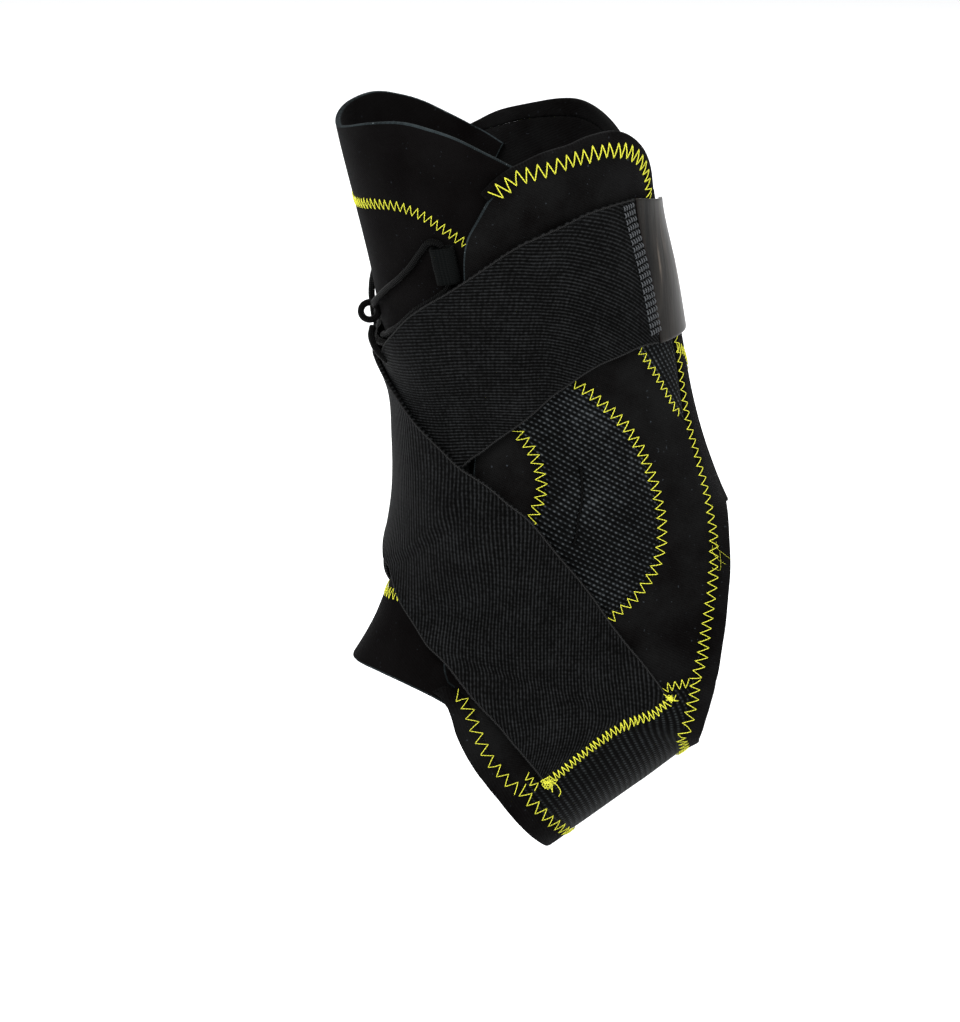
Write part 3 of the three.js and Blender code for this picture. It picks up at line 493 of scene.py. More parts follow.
def sew(name, pattern, low, high, seams=(), free=(), rim=0.6, dip=SEAM_DIP, relief=None):
    """A closed piece between two heights. Rim faces near a free edge are marked as cut edge."""
    places, faces, flat = pattern
    along, around = places.T
    out, base = axes(along, around)[0], skin(along, around)
    count = len(base)
    a, b, c = (base[faces[:, k]] for k in range(3))
    if np.sum(np.cross(b - a, c - a) * out[faces[:, 0]]) < 0:
        faces = faces[:, ::-1]
    edges = border(faces)
    aside = np.cross(base[edges[:, 1]] - base[edges[:, 0]], out[edges[:, 0]])
    sideways = np.zeros_like(base)
    for end in (0, 1):
        np.add.at(sideways, edges[:, end], aside)
    on_rim = np.zeros(count, bool)
    on_rim[edges] = True
    sideways = unit(sideways)
    top, bottom = high(along, around) + 0 * along, low(along, around) + 0 * along
    if len(seams):
        top = top - dip * np.exp(-(nearest(base, on_form(seams)) / SEAM_SPREAD) ** 2)
    if relief is not None:
        top = top + relief(along, around, flat) * ~on_rim
    drawn = base - sideways * (RIM_GAP + rim)
    rims = np.flatnonzero(on_rim)
    middle, half = (top + bottom)[rims, None] / 2, (top - bottom)[rims, None] / 2
    points, sources = [drawn + out * top[:, None], drawn + out * bottom[:, None]], [np.arange(count)] * 2
    layers = [np.arange(count)]
    for k, turn in enumerate(RIM_TURNS):
        push = math.cos(turn) ** RIM_ROUND * rim
        tall = math.copysign(abs(math.sin(turn)) ** RIM_ROUND, turn)
        points.append(drawn[rims] + sideways[rims] * push + out[rims] * (middle + half * tall))
        sources.append(rims)
        layer = np.full(count, -1)
        layer[rims] = 2 * count + k * len(rims) + np.arange(len(rims))
        layers.append(layer)
    layers.append(np.arange(count) + count)
    start, end = edges.T
    quads = np.concatenate([np.stack([upper[end], upper[start], lower[start], lower[end]], -1)
                            for upper, lower in zip(layers[:-1], layers[1:])])
    sheet = np.concatenate([faces, faces[:, ::-1] + count])
    piece = mesh_object(name, np.concatenate(points), sheet.tolist() + quads.tolist(),
                        flat[np.concatenate(sources)])
    if len(free):
        near = nearest((base[start] + base[end]) / 2, on_form(free)) < FREE_REACH
        piece["cut_edge"] = [0] * len(sheet) + np.tile(near, len(layers) - 1).astype(int).tolist()
    return piece


# %% [markdown]
# ## Nodes and colours
#
# Colours are read off as sRGB hex values and turned to linear light by one function. Another
# adds a node, sets it and links it, so that a pattern reads like a sum. Every pattern is drawn in
# the flat millimetres of its piece, or in space where it has no direction.

# %% Colour and node helpers
def linear(text):
    """Linear RGBA of an sRGB hex colour."""
    parts = [int(text[k:k + 2], 16) / 255 for k in (1, 3, 5)]
    return (*[v / 12.92 if v <= 0.04045 else ((v + 0.055) / 1.055) ** 2.4 for v in parts], 1.0)


def add(tree, kind, inputs=None, output=0, stops=(), **settings):
    """Adds one node: inputs are values or other nodes' outputs, stops are (place, hex colour)."""
    made = tree.nodes.new("ShaderNode" + kind)
    for key, value in settings.items():
        setattr(made, key, value)
    for key, value in (inputs or {}).items():
        if isinstance(value, bpy.types.NodeSocket):
            tree.links.new(value, made.inputs[key])
        else:
            made.inputs[key].default_value = value
    for k, (place, colour) in enumerate(stops):
        element = made.color_ramp.elements[k] if k < 2 else made.color_ramp.elements.new(place)
        element.position, element.color = place, linear(colour)
    return made.outputs[output]


def surface(name, roughness, gloss=0.5, sheen=0.0, sheen_roughness=0.5, sheen_tint="#ffffff", ior=1.5):
    """A material with one principled shader: the material, its tree and its shader."""
    made = bpy.data.materials.new(name)
    made.use_nodes = True
    shader = made.node_tree.nodes["Principled BSDF"]
    for key, value in (("Roughness", roughness), ("IOR", ior), ("Specular IOR Level", gloss),
                       ("Sheen Weight", sheen), ("Sheen Roughness", sheen_roughness),
                       ("Sheen Tint", linear(sheen_tint))):
        shader.inputs[key].default_value = value
    return made, made.node_tree, shader


def flat_and_space(tree):
    """Where a point is in its piece's flat pattern, in mm, and in space, in metres."""
    return add(tree, "UVMap", uv_map="pattern"), add(tree, "TexCoord", output=3)


def summed(tree, *parts):
    """Sum of patterns, each times its weight."""
    total = 0.0
    for value, weight in parts:
        total = add(tree, "Math", {0: value, 1: weight, 2: total}, operation="MULTIPLY_ADD")
    return total


def wave(tree, pattern, turns):
    """A cosine from -1 to 1 over the pattern, with so many turns a millimetre along it and across it."""
    dot = add(tree, "VectorMath", {0: pattern, 1: (turns[0] * 2 * math.pi, turns[1] * 2 * math.pi, 0)},
              output=1, operation="DOT_PRODUCT")
    return add(tree, "Math", {0: dot}, operation="COSINE")


def finish(tree, shader, tone, stops, relief, depth, strength=1.0):
    """Colours the shader by a tone and raises it by a relief, with its depth in millimetres."""
    colour = add(tree, "ValToRGB", {0: tone}, stops=stops)
    tree.links.new(colour, shader.inputs["Base Color"])
    bump = add(tree, "Bump", {"Strength": strength, "Distance": depth / 1000, "Height": relief})
    tree.links.new(bump, shader.inputs["Normal"])
    return colour


print("black knit in linear light:", [round(v, 4) for v in linear("#141518")])

# %% [markdown]
# ## Nylon jersey on foam
#
# The side panels are thin foam rubber faced with black nylon jersey, knitted on a circular
# machine. To the eye it is nearly black and dull, with a soft sheen where it turns away, a very
# fine grain of loops, and a few pale specks of lint. The loops are 0.45 mm apart; they are drawn
# 0.9 mm apart, since finer ones would not show.

# %% Padded knit, smooth knit and the cut edge
CLOTH_GLOSS, CLOTH_SHEEN_TINT = 0.012, "#c9cdd2"


def knit(name, dark, light, roughness, sheen, loops, depth, lint):
    made, tree, shader = surface(name, roughness, CLOTH_GLOSS, sheen, 0.45, CLOTH_SHEEN_TINT)
    pattern, place = flat_and_space(tree)
    wales, courses = wave(tree, pattern, (1 / loops, 0)), wave(tree, pattern, (0.5 / loops, 1 / loops))
    grain = add(tree, "Math", {0: wales, 1: courses}, operation="MULTIPLY")
    cloud = add(tree, "TexNoise", {"Vector": place, "Scale": 60.0, "Detail": 5.0})
    fuzz = add(tree, "TexNoise", {"Vector": place, "Scale": 1500.0, "Detail": 2.0})
    speck = add(tree, "TexNoise", {"Vector": place, "Scale": 1000.0, "Detail": 0.0})
    tone = summed(tree, (cloud, 1.0), (grain, 0.08), (fuzz, 0.25))
    relief = summed(tree, (grain, 1.0), (fuzz, 1.5))
    knitted = finish(tree, shader, tone, ((0.45, dark), (0.8, light)), relief, depth)
    specks = add(tree, "ValToRGB", {0: speck}, stops=((0.8, "#000000"), (0.9, lint)))
    with_lint = add(tree, "Mix", {0: 1.0, 6: knitted, 7: specks}, output=2,
                    data_type="RGBA", blend_type="ADD")
    tree.links.new(with_lint, shader.inputs["Base Color"])
    return made


nylon_jersey = knit("nylon_jersey_on_foam", "#040303", "#0f0f0f", 0.85, 0.012, 0.9, 0.06, "#24282c")
smooth_jersey = knit("smooth_nylon_jersey", "#040303", "#090808", 0.75, 0.012, 0.8, 0.04, "#14171a")
cut_foam = knit("cut_foam_edge", "#0c0f10", "#262c2e", 0.9, 0.02, 1.1, 0.12, "#6d7578")
print("knits:", nylon_jersey.name, smooth_jersey.name, cut_foam.name)

# %% [markdown]
# ## Open warp-knitted mesh
#
# Air passes through the windows in the sides and the sole. The mesh is warp knitted: wales
# 1.28 mm apart, a knot every 2.07 mm along each wale, and each wale set 0.74 mm off its
# neighbour, so the knots line up in slanting rows. Each knot catches the light as a short pale
# dash, and the holes between them look black.

# %% Open mesh
WALE, KNOT, KNOT_SHIFT = 1.28, 2.07, 0.74


def open_mesh(name, dark, middle, light):
    made, tree, shader = surface(name, 0.6, 2 * CLOTH_GLOSS, 0.01, 0.4, CLOTH_SHEEN_TINT)
    pattern, place = flat_and_space(tree)
    across, along = -KNOT_SHIFT / (WALE * KNOT), 1 / KNOT
    knots = summed(tree, (wave(tree, pattern, (across, along)), 0.55),
                   (wave(tree, pattern, (1 / WALE, 0)), 0.18),
                   (wave(tree, pattern, (across + 1 / WALE, along)), 0.18),
                   (wave(tree, pattern, (2 * across + 1 / WALE, 2 * along)), 0.12))
    worn = add(tree, "TexNoise", {"Vector": place, "Scale": 500.0, "Detail": 3.0})
    dusty = add(tree, "TexNoise", {"Vector": place, "Scale": 45.0, "Detail": 2.0})
    tone = summed(tree, (knots, 0.42), (worn, 0.6), (dusty, 0.5))
    finish(tree, shader, tone, ((0.4, dark), (0.7, middle), (1.0, light)), knots, 0.3)
    return made


warp_knit_mesh = open_mesh("warp_knit_mesh", "#010101", "#0f1112", "#3a3d3f")
# The copy under the foot is the same mesh with darker stops: painted shade, as less light reaches the
# underside.
sole_mesh_with_painted_shade = open_mesh("warp_knit_mesh_with_painted_shade_under_the_foot", "#010101", "#090a0a", "#232627")
print("knots a square centimetre:", round(100 / (WALE * KNOT)))

# %% [markdown]
# ## Woven elastic
#
# The straps are 50 mm woven elastic: rubber cores wrapped in textured polyester, in a twill
# whose ribs are 1.07 mm apart and run at 42 degrees to the strap. Between the ribs the weave is
# darker, and short pale floats glint along each rib.

# %% Woven elastic
RIB_SPACING, RIB_TURN, FLOAT_LENGTH = 1.07, math.radians(42), 1.3


def twill(name, dark, middle, light):
    made, tree, shader = surface(name, 0.62, 1.6 * CLOTH_GLOSS, 0.01, 0.4, CLOTH_SHEEN_TINT)
    pattern, place = flat_and_space(tree)
    c, s = math.cos(RIB_TURN), math.sin(RIB_TURN)
    ribs = wave(tree, pattern, (s / RIB_SPACING, c / RIB_SPACING))
    floats = wave(tree, pattern, (c / FLOAT_LENGTH, -s / FLOAT_LENGTH))
    cloud = add(tree, "TexNoise", {"Vector": place, "Scale": 110.0, "Detail": 5.0})
    grain = add(tree, "TexNoise", {"Vector": place, "Scale": 1100.0, "Detail": 2.0})
    tone = summed(tree, (ribs, 0.22), (floats, 0.05), (grain, 0.7), (cloud, 0.3))
    finish(tree, shader, tone, ((0.28, dark), (0.55, middle), (0.85, light)),
           summed(tree, (ribs, 1.0), (grain, 0.8)), 0.14)
    return made


woven_elastic = twill("woven_elastic_twill", "#010101", "#090909", "#1e1f20")
print("ribs across a 50 mm strap:", round(50 / RIB_SPACING * math.cos(RIB_TURN)))

# %% [markdown]
# ## Small parts: hook tab, lace, ribbon and sewing thread
#
# The tab is moulded nylon hook strip: glossy, grey-brown, with pale streaks from flow. The lace
# is braided polyester cord. The thread is spun polyester dyed fluorescent yellow, which looks
# brighter than white cloth in the same light.

# %% Plastic, cord, ribbon and thread
def moulded_nylon(name, painted_hem_shadow="#050505"):
    """Streaks drawn out along the flow, and a painted shadow of the strap's hem over the first 3 mm."""
    made, tree, shader = surface(name, 0.36, 0.07, ior=1.53)
    pattern, _ = flat_and_space(tree)
    flow = add(tree, "VectorMath", {0: pattern, 1: (0.28, 0.045, 1.0)}, operation="MULTIPLY")
    streak = add(tree, "TexNoise", {"Vector": flow, "Scale": 1.0, "Detail": 4.0, "Distortion": 0.6})
    greys = ((0.42, "#110f0d"), (0.62, "#1f1c19"), (0.78, "#4f4841"))
    body = finish(tree, shader, streak, greys, streak, 0.25, 0.6)
    # Painted shadow: the colour darkens towards the hem over the first 3 mm, where the strap's end shades the
    # tab.
    from_hem = add(tree, "Math", {0: add(tree, "SeparateXYZ", {0: pattern})}, operation="ABSOLUTE")
    bare = add(tree, "MapRange", {0: from_hem, 1: 0.6, 2: 3.0, 3: 0.1, 4: 1.0},
               interpolation_type="SMOOTHSTEP")
    with_painted_shadow = add(tree, "Mix", {0: bare, 6: linear(painted_hem_shadow), 7: body}, output=2, data_type="RGBA")
    tree.links.new(with_painted_shadow, shader.inputs["Base Color"])
    tree.links.new(add(tree, "MapRange", {0: streak, 3: 0.25, 4: 0.45}), shader.inputs["Roughness"])
    return made


def braid(name, spacing, dark, light, roughness, gloss, depth):
    made, tree, shader = surface(name, roughness, gloss, 0.01)
    pattern, _ = flat_and_space(tree)
    one, other = (wave(tree, pattern, (0.8 / spacing, rise / spacing)) for rise in (0.6, -0.6))
    crossing = add(tree, "Math", {0: one, 1: other}, operation="MULTIPLY")
    tone = add(tree, "Math", {0: crossing, 1: 0.5, 2: 0.5}, operation="MULTIPLY_ADD")
    finish(tree, shader, tone, ((0.2, dark), (0.9, light)), crossing, depth)
    return made


def spun_thread(name, dark, light, roughness, gloss):
    made, tree, shader = surface(name, roughness, gloss, 0.1, 0.4, light)
    pattern, _ = flat_and_space(tree)
    ply = wave(tree, pattern, (2.0, 1.0))
    tone = add(tree, "Math", {0: ply, 1: 0.5, 2: 0.5}, operation="MULTIPLY_ADD")
    finish(tree, shader, tone, ((0.0, dark), (0.7, light)), ply, 0.06, 0.8)
    return made


hook_plastic = moulded_nylon("moulded_nylon_hook")
braided_cord = braid("braided_polyester_cord", 0.9, "#010101", "#070707", 0.42, 0.025, 0.12)
woven_ribbon = braid("woven_ribbon", 0.7, "#020303", "#090a0a", 0.6, 0.02, 0.06)
# The selvedge cord is real; its yarn is painted paler than the strap, a painted highlight along the strap
# edges.
selvedge_yarn_painted_highlight = braid("selvedge_yarn_painted_highlight", 0.8, "#0a0a0a", "#2a2a2a", 0.6, 0.04, 0.1)
yellow_thread = spun_thread("fluorescent_polyester_thread", "#8f962c", "#efed4c", 0.6, 0.06)
black_thread = spun_thread("glossy_black_thread", "#121315", "#46494c", 0.3, 0.35)
print("materials so far:", len(bpy.data.materials))

# %% [markdown]
# ## Dressing the frame
#
# Each piece rides on the frame's one body, and where it stands for a CAD node, that node is hidden.


def dress(piece, cloth, *nodes, edge=None, slot=None):
    """Gives a piece its cloth, and its free edges theirs, and ties it to the frame."""
    piece.data.materials.append(cloth)
    if edge is not None:
        piece.data.materials.append(edge)
        piece.data.polygons.foreach_set("material_index", list(piece["cut_edge"]))
        del piece["cut_edge"]
    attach(piece, "root")
    if nodes:
        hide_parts(*nodes)
    return piece


def run(rows, step=1.3):
    """Even places along a line."""
    return Line(rows).places(step)


# %% [markdown]
# ## The side panels
#
# Each quarter is one panel with two windows cut out of it, a large one in the middle and a
# narrow one near the back. The front edge is left raw, so the pale foam shows there.

# %% Quarters and windows
def part_of(places, low, high):
    """The places whose share along the form lies between two shares."""
    return places[(places[:, 0] > low) & (places[:, 0] < high)]


WEDGE_TOP, WEDGE_FOOT = 0.185, 0.326
rear, front_edge = run(REAR_SEAM), run(FRONT_EDGE)
wedge_top = np.array([(WEDGE_TOP, around) for around in np.linspace(154.2, 117, 18)])
wedge_front, wedge_rear = run(WEDGE_FRONT), run(WEDGE_REAR)
wedge_foot = np.array([(WEDGE_FOOT, 146.5), (WEDGE_FOOT, 148.2)])
window = loop(run(MESH_FRONT), run(MESH_REAR)[::-1])
wedge = loop(wedge_front, wedge_rear[::-1], wedge_top[2:-1])
quarter_outline = loop(
    run(TOP_SEAM), part_of(rear, 0.111, 0.184), wedge_top, wedge_front, wedge_foot,
    part_of(rear, 0.328, 0.7), run(SOLE_SEAM), run(FOOT_SEAM)[::-1], front_edge[::-1])


def quarter_out(a, r):
    return quarter_in(a, r) + QUARTER_WALL


def binding_out(a, r):
    return quarter_in(a, r) + BINDING_WALL


def mesh_in(a, r):
    return quarter_in(a, r) + MESH_SINK


def mesh_out(a, r):
    return quarter_in(a, r) + MESH_SINK + MESH_WALL + MESH_PUFF


def padding(along, around, flat):
    """Soft uneven thickness of foam, in millimetres."""
    u, v = np.abs(flat[:, 0]), flat[:, 1]
    return 0.16 * np.sin(u / 7.5) * np.cos(v / 11) + 0.10 * np.sin(v / 5.2 + u / 9)


for name, side in SIDES.items():
    outline, hole = on(side, quarter_outline), on(side, window)
    seams = [on(side, run(rows)) for rows in (TOP_SEAM, REAR_SEAM, SOLE_SEAM, FOOT_SEAM)]
    seams += [hole, on(side, wedge_front)]
    panel = sew(name + "_side_panel", cut(outline, hole), quarter_in, quarter_out, seams,
                [on(side, front_edge)], relief=padding)
    dress(panel, nylon_jersey, name + "_quarter", edge=cut_foam)
    print(panel.name, len(panel.data.polygons), "faces")

# %% [markdown]
# ## The mesh windows
#
# The mesh is sewn in slack, so it stands up a little and folds into a crease down the middle of
# the large window. The fold is pressed into the top face, because the two sides have to stay one
# closed cloth.

# %% Mesh windows
CREASE = [(0.372, 91), (0.399, 89.9), (0.414, 88.8), (0.43, 86.8), (0.446, 85.4), (0.46, 83.5)]
CROWN, CROWN_REACH, CREASE_DEEP, CREASE_WIDE = 0.6, 7, 1.2, 1.3
c, s = math.cos(math.radians(35)), math.sin(math.radians(35))
WEDGE_TURN = np.array([[c, -s], [s, c]])


def slack(along, around, flat):
    """The loose mesh stands up in the middle of its window and folds in along one crease."""
    points = skin(along, np.abs(around))
    from_rim, from_fold = (nearest(points, skin(*line.T)) for line in (window, Line(CREASE).places(0.5)))
    crown = CROWN * (1 - np.exp(-from_rim / CROWN_REACH))
    return crown - CREASE_DEEP * np.exp(-(from_fold / CREASE_WIDE) ** 2)


def mesh_window(name, pattern, seam, relief=None):
    return sew(name, pattern, mesh_in, mesh_out, [seam], dip=0.3, rim=0.4, relief=relief)


for name, side in SIDES.items():
    large, narrow = on(side, window), on(side, wedge)
    made = mesh_window(name + "_ankle_window", cut(large, step=1.0), large, slack)
    dress(made, warp_knit_mesh, name + "_ankle_mesh")
    places, faces, flat = cut(narrow, step=1.2)
    made = mesh_window(name + "_tendon_window", (places, faces, flat @ WEDGE_TURN), narrow)
    dress(made, warp_knit_mesh, name + "_rear_mesh")
    print(made.name, len(made.data.polygons), "faces")

# %% [markdown]
# ## Bands, back and sole
#
# Outside the zigzag the jersey is turned over into a soft band, which runs over the top, down
# the back and round the heel opening, and here is one piece from side to side. Another band
# closes the foot end.

# %% Bands, back panel and sole
def band(name, seams, edges, *nodes):
    """A folded band between a seam and an edge, from one side round to the other."""
    seam, edge = np.concatenate(seams), np.concatenate(edges)
    outline = loop(seam, under(seam)[::-1], under(edge), edge[::-1])
    made = sew(name, cut(outline), quarter_in, binding_out, [seam, under(seam)], rim=1.0)
    return dress(made, nylon_jersey, *nodes)


band("edge_band", [run(rows) for rows in (TOP_SEAM, REAR_SEAM, HEEL_SEAM)],
     [run(rows) for rows in (TOP_EDGE, BACK_EDGE, OPENING_EDGE, HEEL_EDGE)],
     "lateral_edge_binding", "medial_edge_binding")

side_edge = Line(BACK_EDGE).at(np.linspace(2 / 11, 1, 60))
far_edge = under(side_edge)
back_top = run([side_edge[0], (0.162, 172), (0.165, 180), (0.162, 188), far_edge[0]])
back_foot = run([side_edge[-1], (0.431, 172), (0.433, 180), (0.431, 188), far_edge[-1]])
back_outline = loop(side_edge, back_foot, far_edge[::-1], back_top[::-1])
tendon_panel = sew("tendon_panel", cut(back_outline), quarter_in, quarter_out, [side_edge, far_edge])
dress(tendon_panel, nylon_jersey, "back_panel")

foot_under, heel_under, sole_side = (run(rows) for rows in (FOOT_SEAM_UNDER, HEEL_SEAM, SOLE_SEAM))
sole_outline = loop(sole_side, foot_under, under(foot_under)[::-1], under(sole_side)[::-1],
                    under(heel_under), heel_under[::-1])
sole = mesh_window("sole_window", cut(sole_outline, step=1.3), sole_outline)
dress(sole, sole_mesh_with_painted_shade, "sole_mesh")

band("foot_band", [run(FOOT_SEAM), foot_under], [run(FOOT_EDGE), run(FOOT_EDGE_UNDER)], "foot_binding")
print("sole area in mm2:", round(sum(p.area for p in sole.data.polygons) * 1e6 / 2))

# %% [markdown]
# ## The tongue
#
# The tongue is one thin smooth layer in three parts. Its top and toe edges are cut raw.

# %% Tongue
EDGE_SKIP = 0.02


def whole(rows):
    """A line from one side over the middle to the other side."""
    half = run(rows)
    return np.concatenate([half, on(INNER, half)[::-1]])


def tongue_part(name, node, top_rows, foot_rows, free):
    """The part of the tongue between two lines across it, with its side edges cut raw."""
    start, end = top_rows[0], foot_rows[0]
    rows = [row for row in TONGUE_EDGE if start[0] + EDGE_SKIP < row[0] < end[0] - EDGE_SKIP]
    side = run([start, *rows, end])
    outline = loop(whole(top_rows), on(INNER, side), whole(foot_rows)[::-1], side[::-1])
    seams = [whole(rows) for rows in (TONGUE_UPPER_SEAM, TONGUE_LOWER_SEAM) if rows in (top_rows, foot_rows)]
    piece = sew(name, cut(outline), tongue_in, tongue_out, seams, free + [side, on(INNER, side)], rim=0.45)
    return dress(piece, smooth_jersey, node, edge=cut_foam)


tongue_part("tongue_cuff", "tongue_top", TONGUE_TOP_LINE, TONGUE_UPPER_SEAM, [whole(TONGUE_TOP_LINE)])
tongue_part("tongue_shin", "tongue_middle", TONGUE_UPPER_SEAM, TONGUE_LOWER_SEAM, [])
tongue_part("tongue_foot", "tongue_toe", TONGUE_LOWER_SEAM, TONGUE_TOE_LINE, [whole(TONGUE_TOE_LINE)])
print("tongue length:", round(Line([(0.056, 0), (0.4, 0), (0.797, 0)]).length), "mm")

# %% [markdown]
# ## The straps
#
# A strap keeps its width and its weave runs along it, so it is a grid between its two edges and
# each point carries its flat place in millimetres: along the strap and across it.

# %% Straps and hook tabs
STRAP_STEP, SMOOTHING, BELL_WIDTH = 1.1, 30, 14


def between_edges(upper_rows, lower_rows, side, step):
    """A grid pattern between two edges that run the same way, laid out flat from its middle line."""
    upper, lower = Line(upper_rows), Line(lower_rows)
    tall = int(round((upper.length + lower.length) / 2 / step))
    a, b = (on(side, line.at(np.linspace(0, 1, tall + 1))) for line in (upper, lower))
    across = np.linalg.norm(skin(*a.T) - skin(*b.T), axis=1)
    wide = 2 * int(round(across.mean() / step / 2))
    share = np.linspace(0, 1, wide + 1)[None, :, None]
    places = a[:, None] * (1 - share) + b[:, None] * share
    points, middle = skin(places[..., 0], places[..., 1]), wide // 2
    way = np.gradient(points[:, middle], axis=0)
    bell = np.exp(-(np.arange(-SMOOTHING, SMOOTHING + 1) / BELL_WIDTH) ** 2)
    ends = np.concatenate([np.repeat(way[:1], SMOOTHING, 0), way, np.repeat(way[-1:], SMOOTHING, 0)])
    way = unit(np.stack([np.convolve(ends[:, c], bell / bell.sum(), "valid") for c in range(3)], -1))
    reach = walked(points[:, middle])
    steps = np.diff(points, axis=1)
    forward = np.sum(steps * way[:, None], -1)
    sideways = np.sqrt(np.maximum(np.sum(steps * steps, -1) - forward ** 2, 0))
    start = np.zeros((tall + 1, 1))
    u, v = (np.concatenate([start, np.cumsum(run_of, axis=1)], axis=1) for run_of in (forward, sideways))
    u, v = u - u[:, [middle]] + reach[:, None], v - v[:, [middle]]
    flat = np.stack([side * u, v], -1)
    at = np.arange((tall + 1) * (wide + 1)).reshape(tall + 1, wide + 1)
    p, q, r, s = at[:-1, :-1].ravel(), at[1:, :-1].ravel(), at[1:, 1:].ravel(), at[:-1, 1:].ravel()
    faces = np.concatenate([np.stack([p, q, r], -1), np.stack([p, r, s], -1)])
    return places.reshape(-1, 2), faces, flat.reshape(-1, 2)


def strap_out(a, r):
    return strap_in(a, r) + STRAP_WALL


def top_strap_out(a, r):
    return top_strap_in(a, r) + STRAP_WALL


def tab_out(a, r):
    return strap_in(a, r) + TAB_WALL


for name, node, side, low, high in (("outer_strap", "lateral_strap", OUTER, top_strap_in, top_strap_out),
                                    ("inner_strap", "medial_strap", INNER, strap_in, strap_out)):
    strap = sew(name, between_edges(STRAP_UPPER, STRAP_LOWER, side, STRAP_STEP), low, high, rim=0.4)
    dress(strap, woven_elastic, node)
    print(name, len(strap.data.polygons), "faces")
for name, side in SIDES.items():
    pattern = between_edges(TAB_UPPER, TAB_LOWER, side, STRAP_STEP)
    dress(sew(name + "_hook_strip", pattern, strap_in, tab_out, rim=0.3), hook_plastic, name + "_hook_tab")

# %% [markdown]
# ## The lace
#
# The lace is a round braided cord through three ribbon loops on each side, tied off in a small
# knot. Its route is a list of places and lifts, joined by one smooth curve.

# %% Lace route
LACE_ROUTE = np.array([
    (0.434, 0.4, 0, 0), (0.432, 20, 0, 0), (0.426, 35, 0.05, 0.05), (0.413, 42.6, 0.09, 0.09),
    (0.4, 43, 0.11, 0.11), (0.382, 43, 0.11, 0.11), (0.364, 43, 0.11, 0.11), (0.34, 46, 0.14, 0.14),
    (0.319, 49, 0.2, 0.2), (0.3, 49.2, 0.27, 0.27), (0.283, 49, 0.2, 0.2), (0.276, 43, 0.05, 0.05),
    (0.269, 30, 0, -0.05), (0.264, 18, 0, -0.09), (0.2595, 9, 0.23, -0.14), (0.2575, 4, 0.91, -0.14),
    (0.2555, 0, 1.14, -0.14), (0.2535, -4, 0.91, -0.14), (0.2515, -9, 0.23, -0.14), (0.246, -16, 0, -0.09),
    (0.236, -27, 0, -0.05), (0.217, -40, 0, 0), (0.201, -52, 0.05, 0.05), (0.188, -58.3, 0.11, 0.11),
    (0.168, -58.8, 0.11, 0.11), (0.15, -58.4, 0.11, 0.11), (0.148, -54, 0.05, 0.05), (0.158, -49, 0, 0),
    (0.172, -43, 0, 0), (0.188, -34, 0, 0), (0.204, -22, 0.09, 0.09)])
OVER_END = [(0.22, -12, 0.23), (0.232, -8.5, 0.32), (0.2405, -5.2, 0.41)]
UNDER_END = [(0.216, -12, 0.23), (0.2225, -5.5, 0.36)]
BOW_ROUTE = [(0.2445, 3, 1.2), (0.25, 6, 1.9), (0.258, 9, 2.1), (0.265, 11.5, 1.9), (0.271, 13, 1.5)]
KNOT_PLACE = (0.232, 0, 1)
KNOT_RADIUS, KNOT_TURNS, KNOT_PITCH = 2.7, 1.2, 2.6
LOOP_PLACES = [(0.168, 58.8, 0), (0.3, 49.2, 0.16), (0.382, 43, 0)]


def lace_spot(rows, side=OUTER):
    rows = np.atleast_2d(np.asarray(rows, float))
    return spot(rows[:, 0], side * rows[:, 1], LACE_REST + rows[:, 2] * 2 * CORD_RADIUS)


def blended(u, start, end, one, other):
    """The blend that is one at the start and the other at the end."""
    return (end - u) / (end - start) * one + (u - start) / (end - start) * other


def rounded(points, step):
    """A smooth curve through points, as evenly spaced points (centripetal Catmull-Rom)."""
    points = np.asarray(points, float)
    ends = np.concatenate([[2 * points[0] - points[1]], points, [2 * points[-1] - points[-2]]])
    fine = []
    for k in range(1, len(ends) - 2):
        p = ends[k - 1:k + 3]
        t = np.concatenate([[0], np.cumsum(np.sqrt(np.linalg.norm(np.diff(p, axis=0), axis=1)))])
        u = np.linspace(t[1], t[2], 24, endpoint=False)[:, None]
        a = [blended(u, t[i], t[i + 1], p[i], p[i + 1]) for i in range(3)]
        b = [blended(u, t[i], t[i + 2], a[i], a[i + 1]) for i in range(2)]
        fine.append(blended(u, t[1], t[2], *b))
    fine = np.concatenate(fine + [points[-1:]])
    reach = walked(fine)
    shares = np.linspace(0, reach[-1], max(4, int(reach[-1] / step)))
    return np.stack([np.interp(shares, reach, fine[:, c]) for c in range(3)], -1)


TIP = 0.4


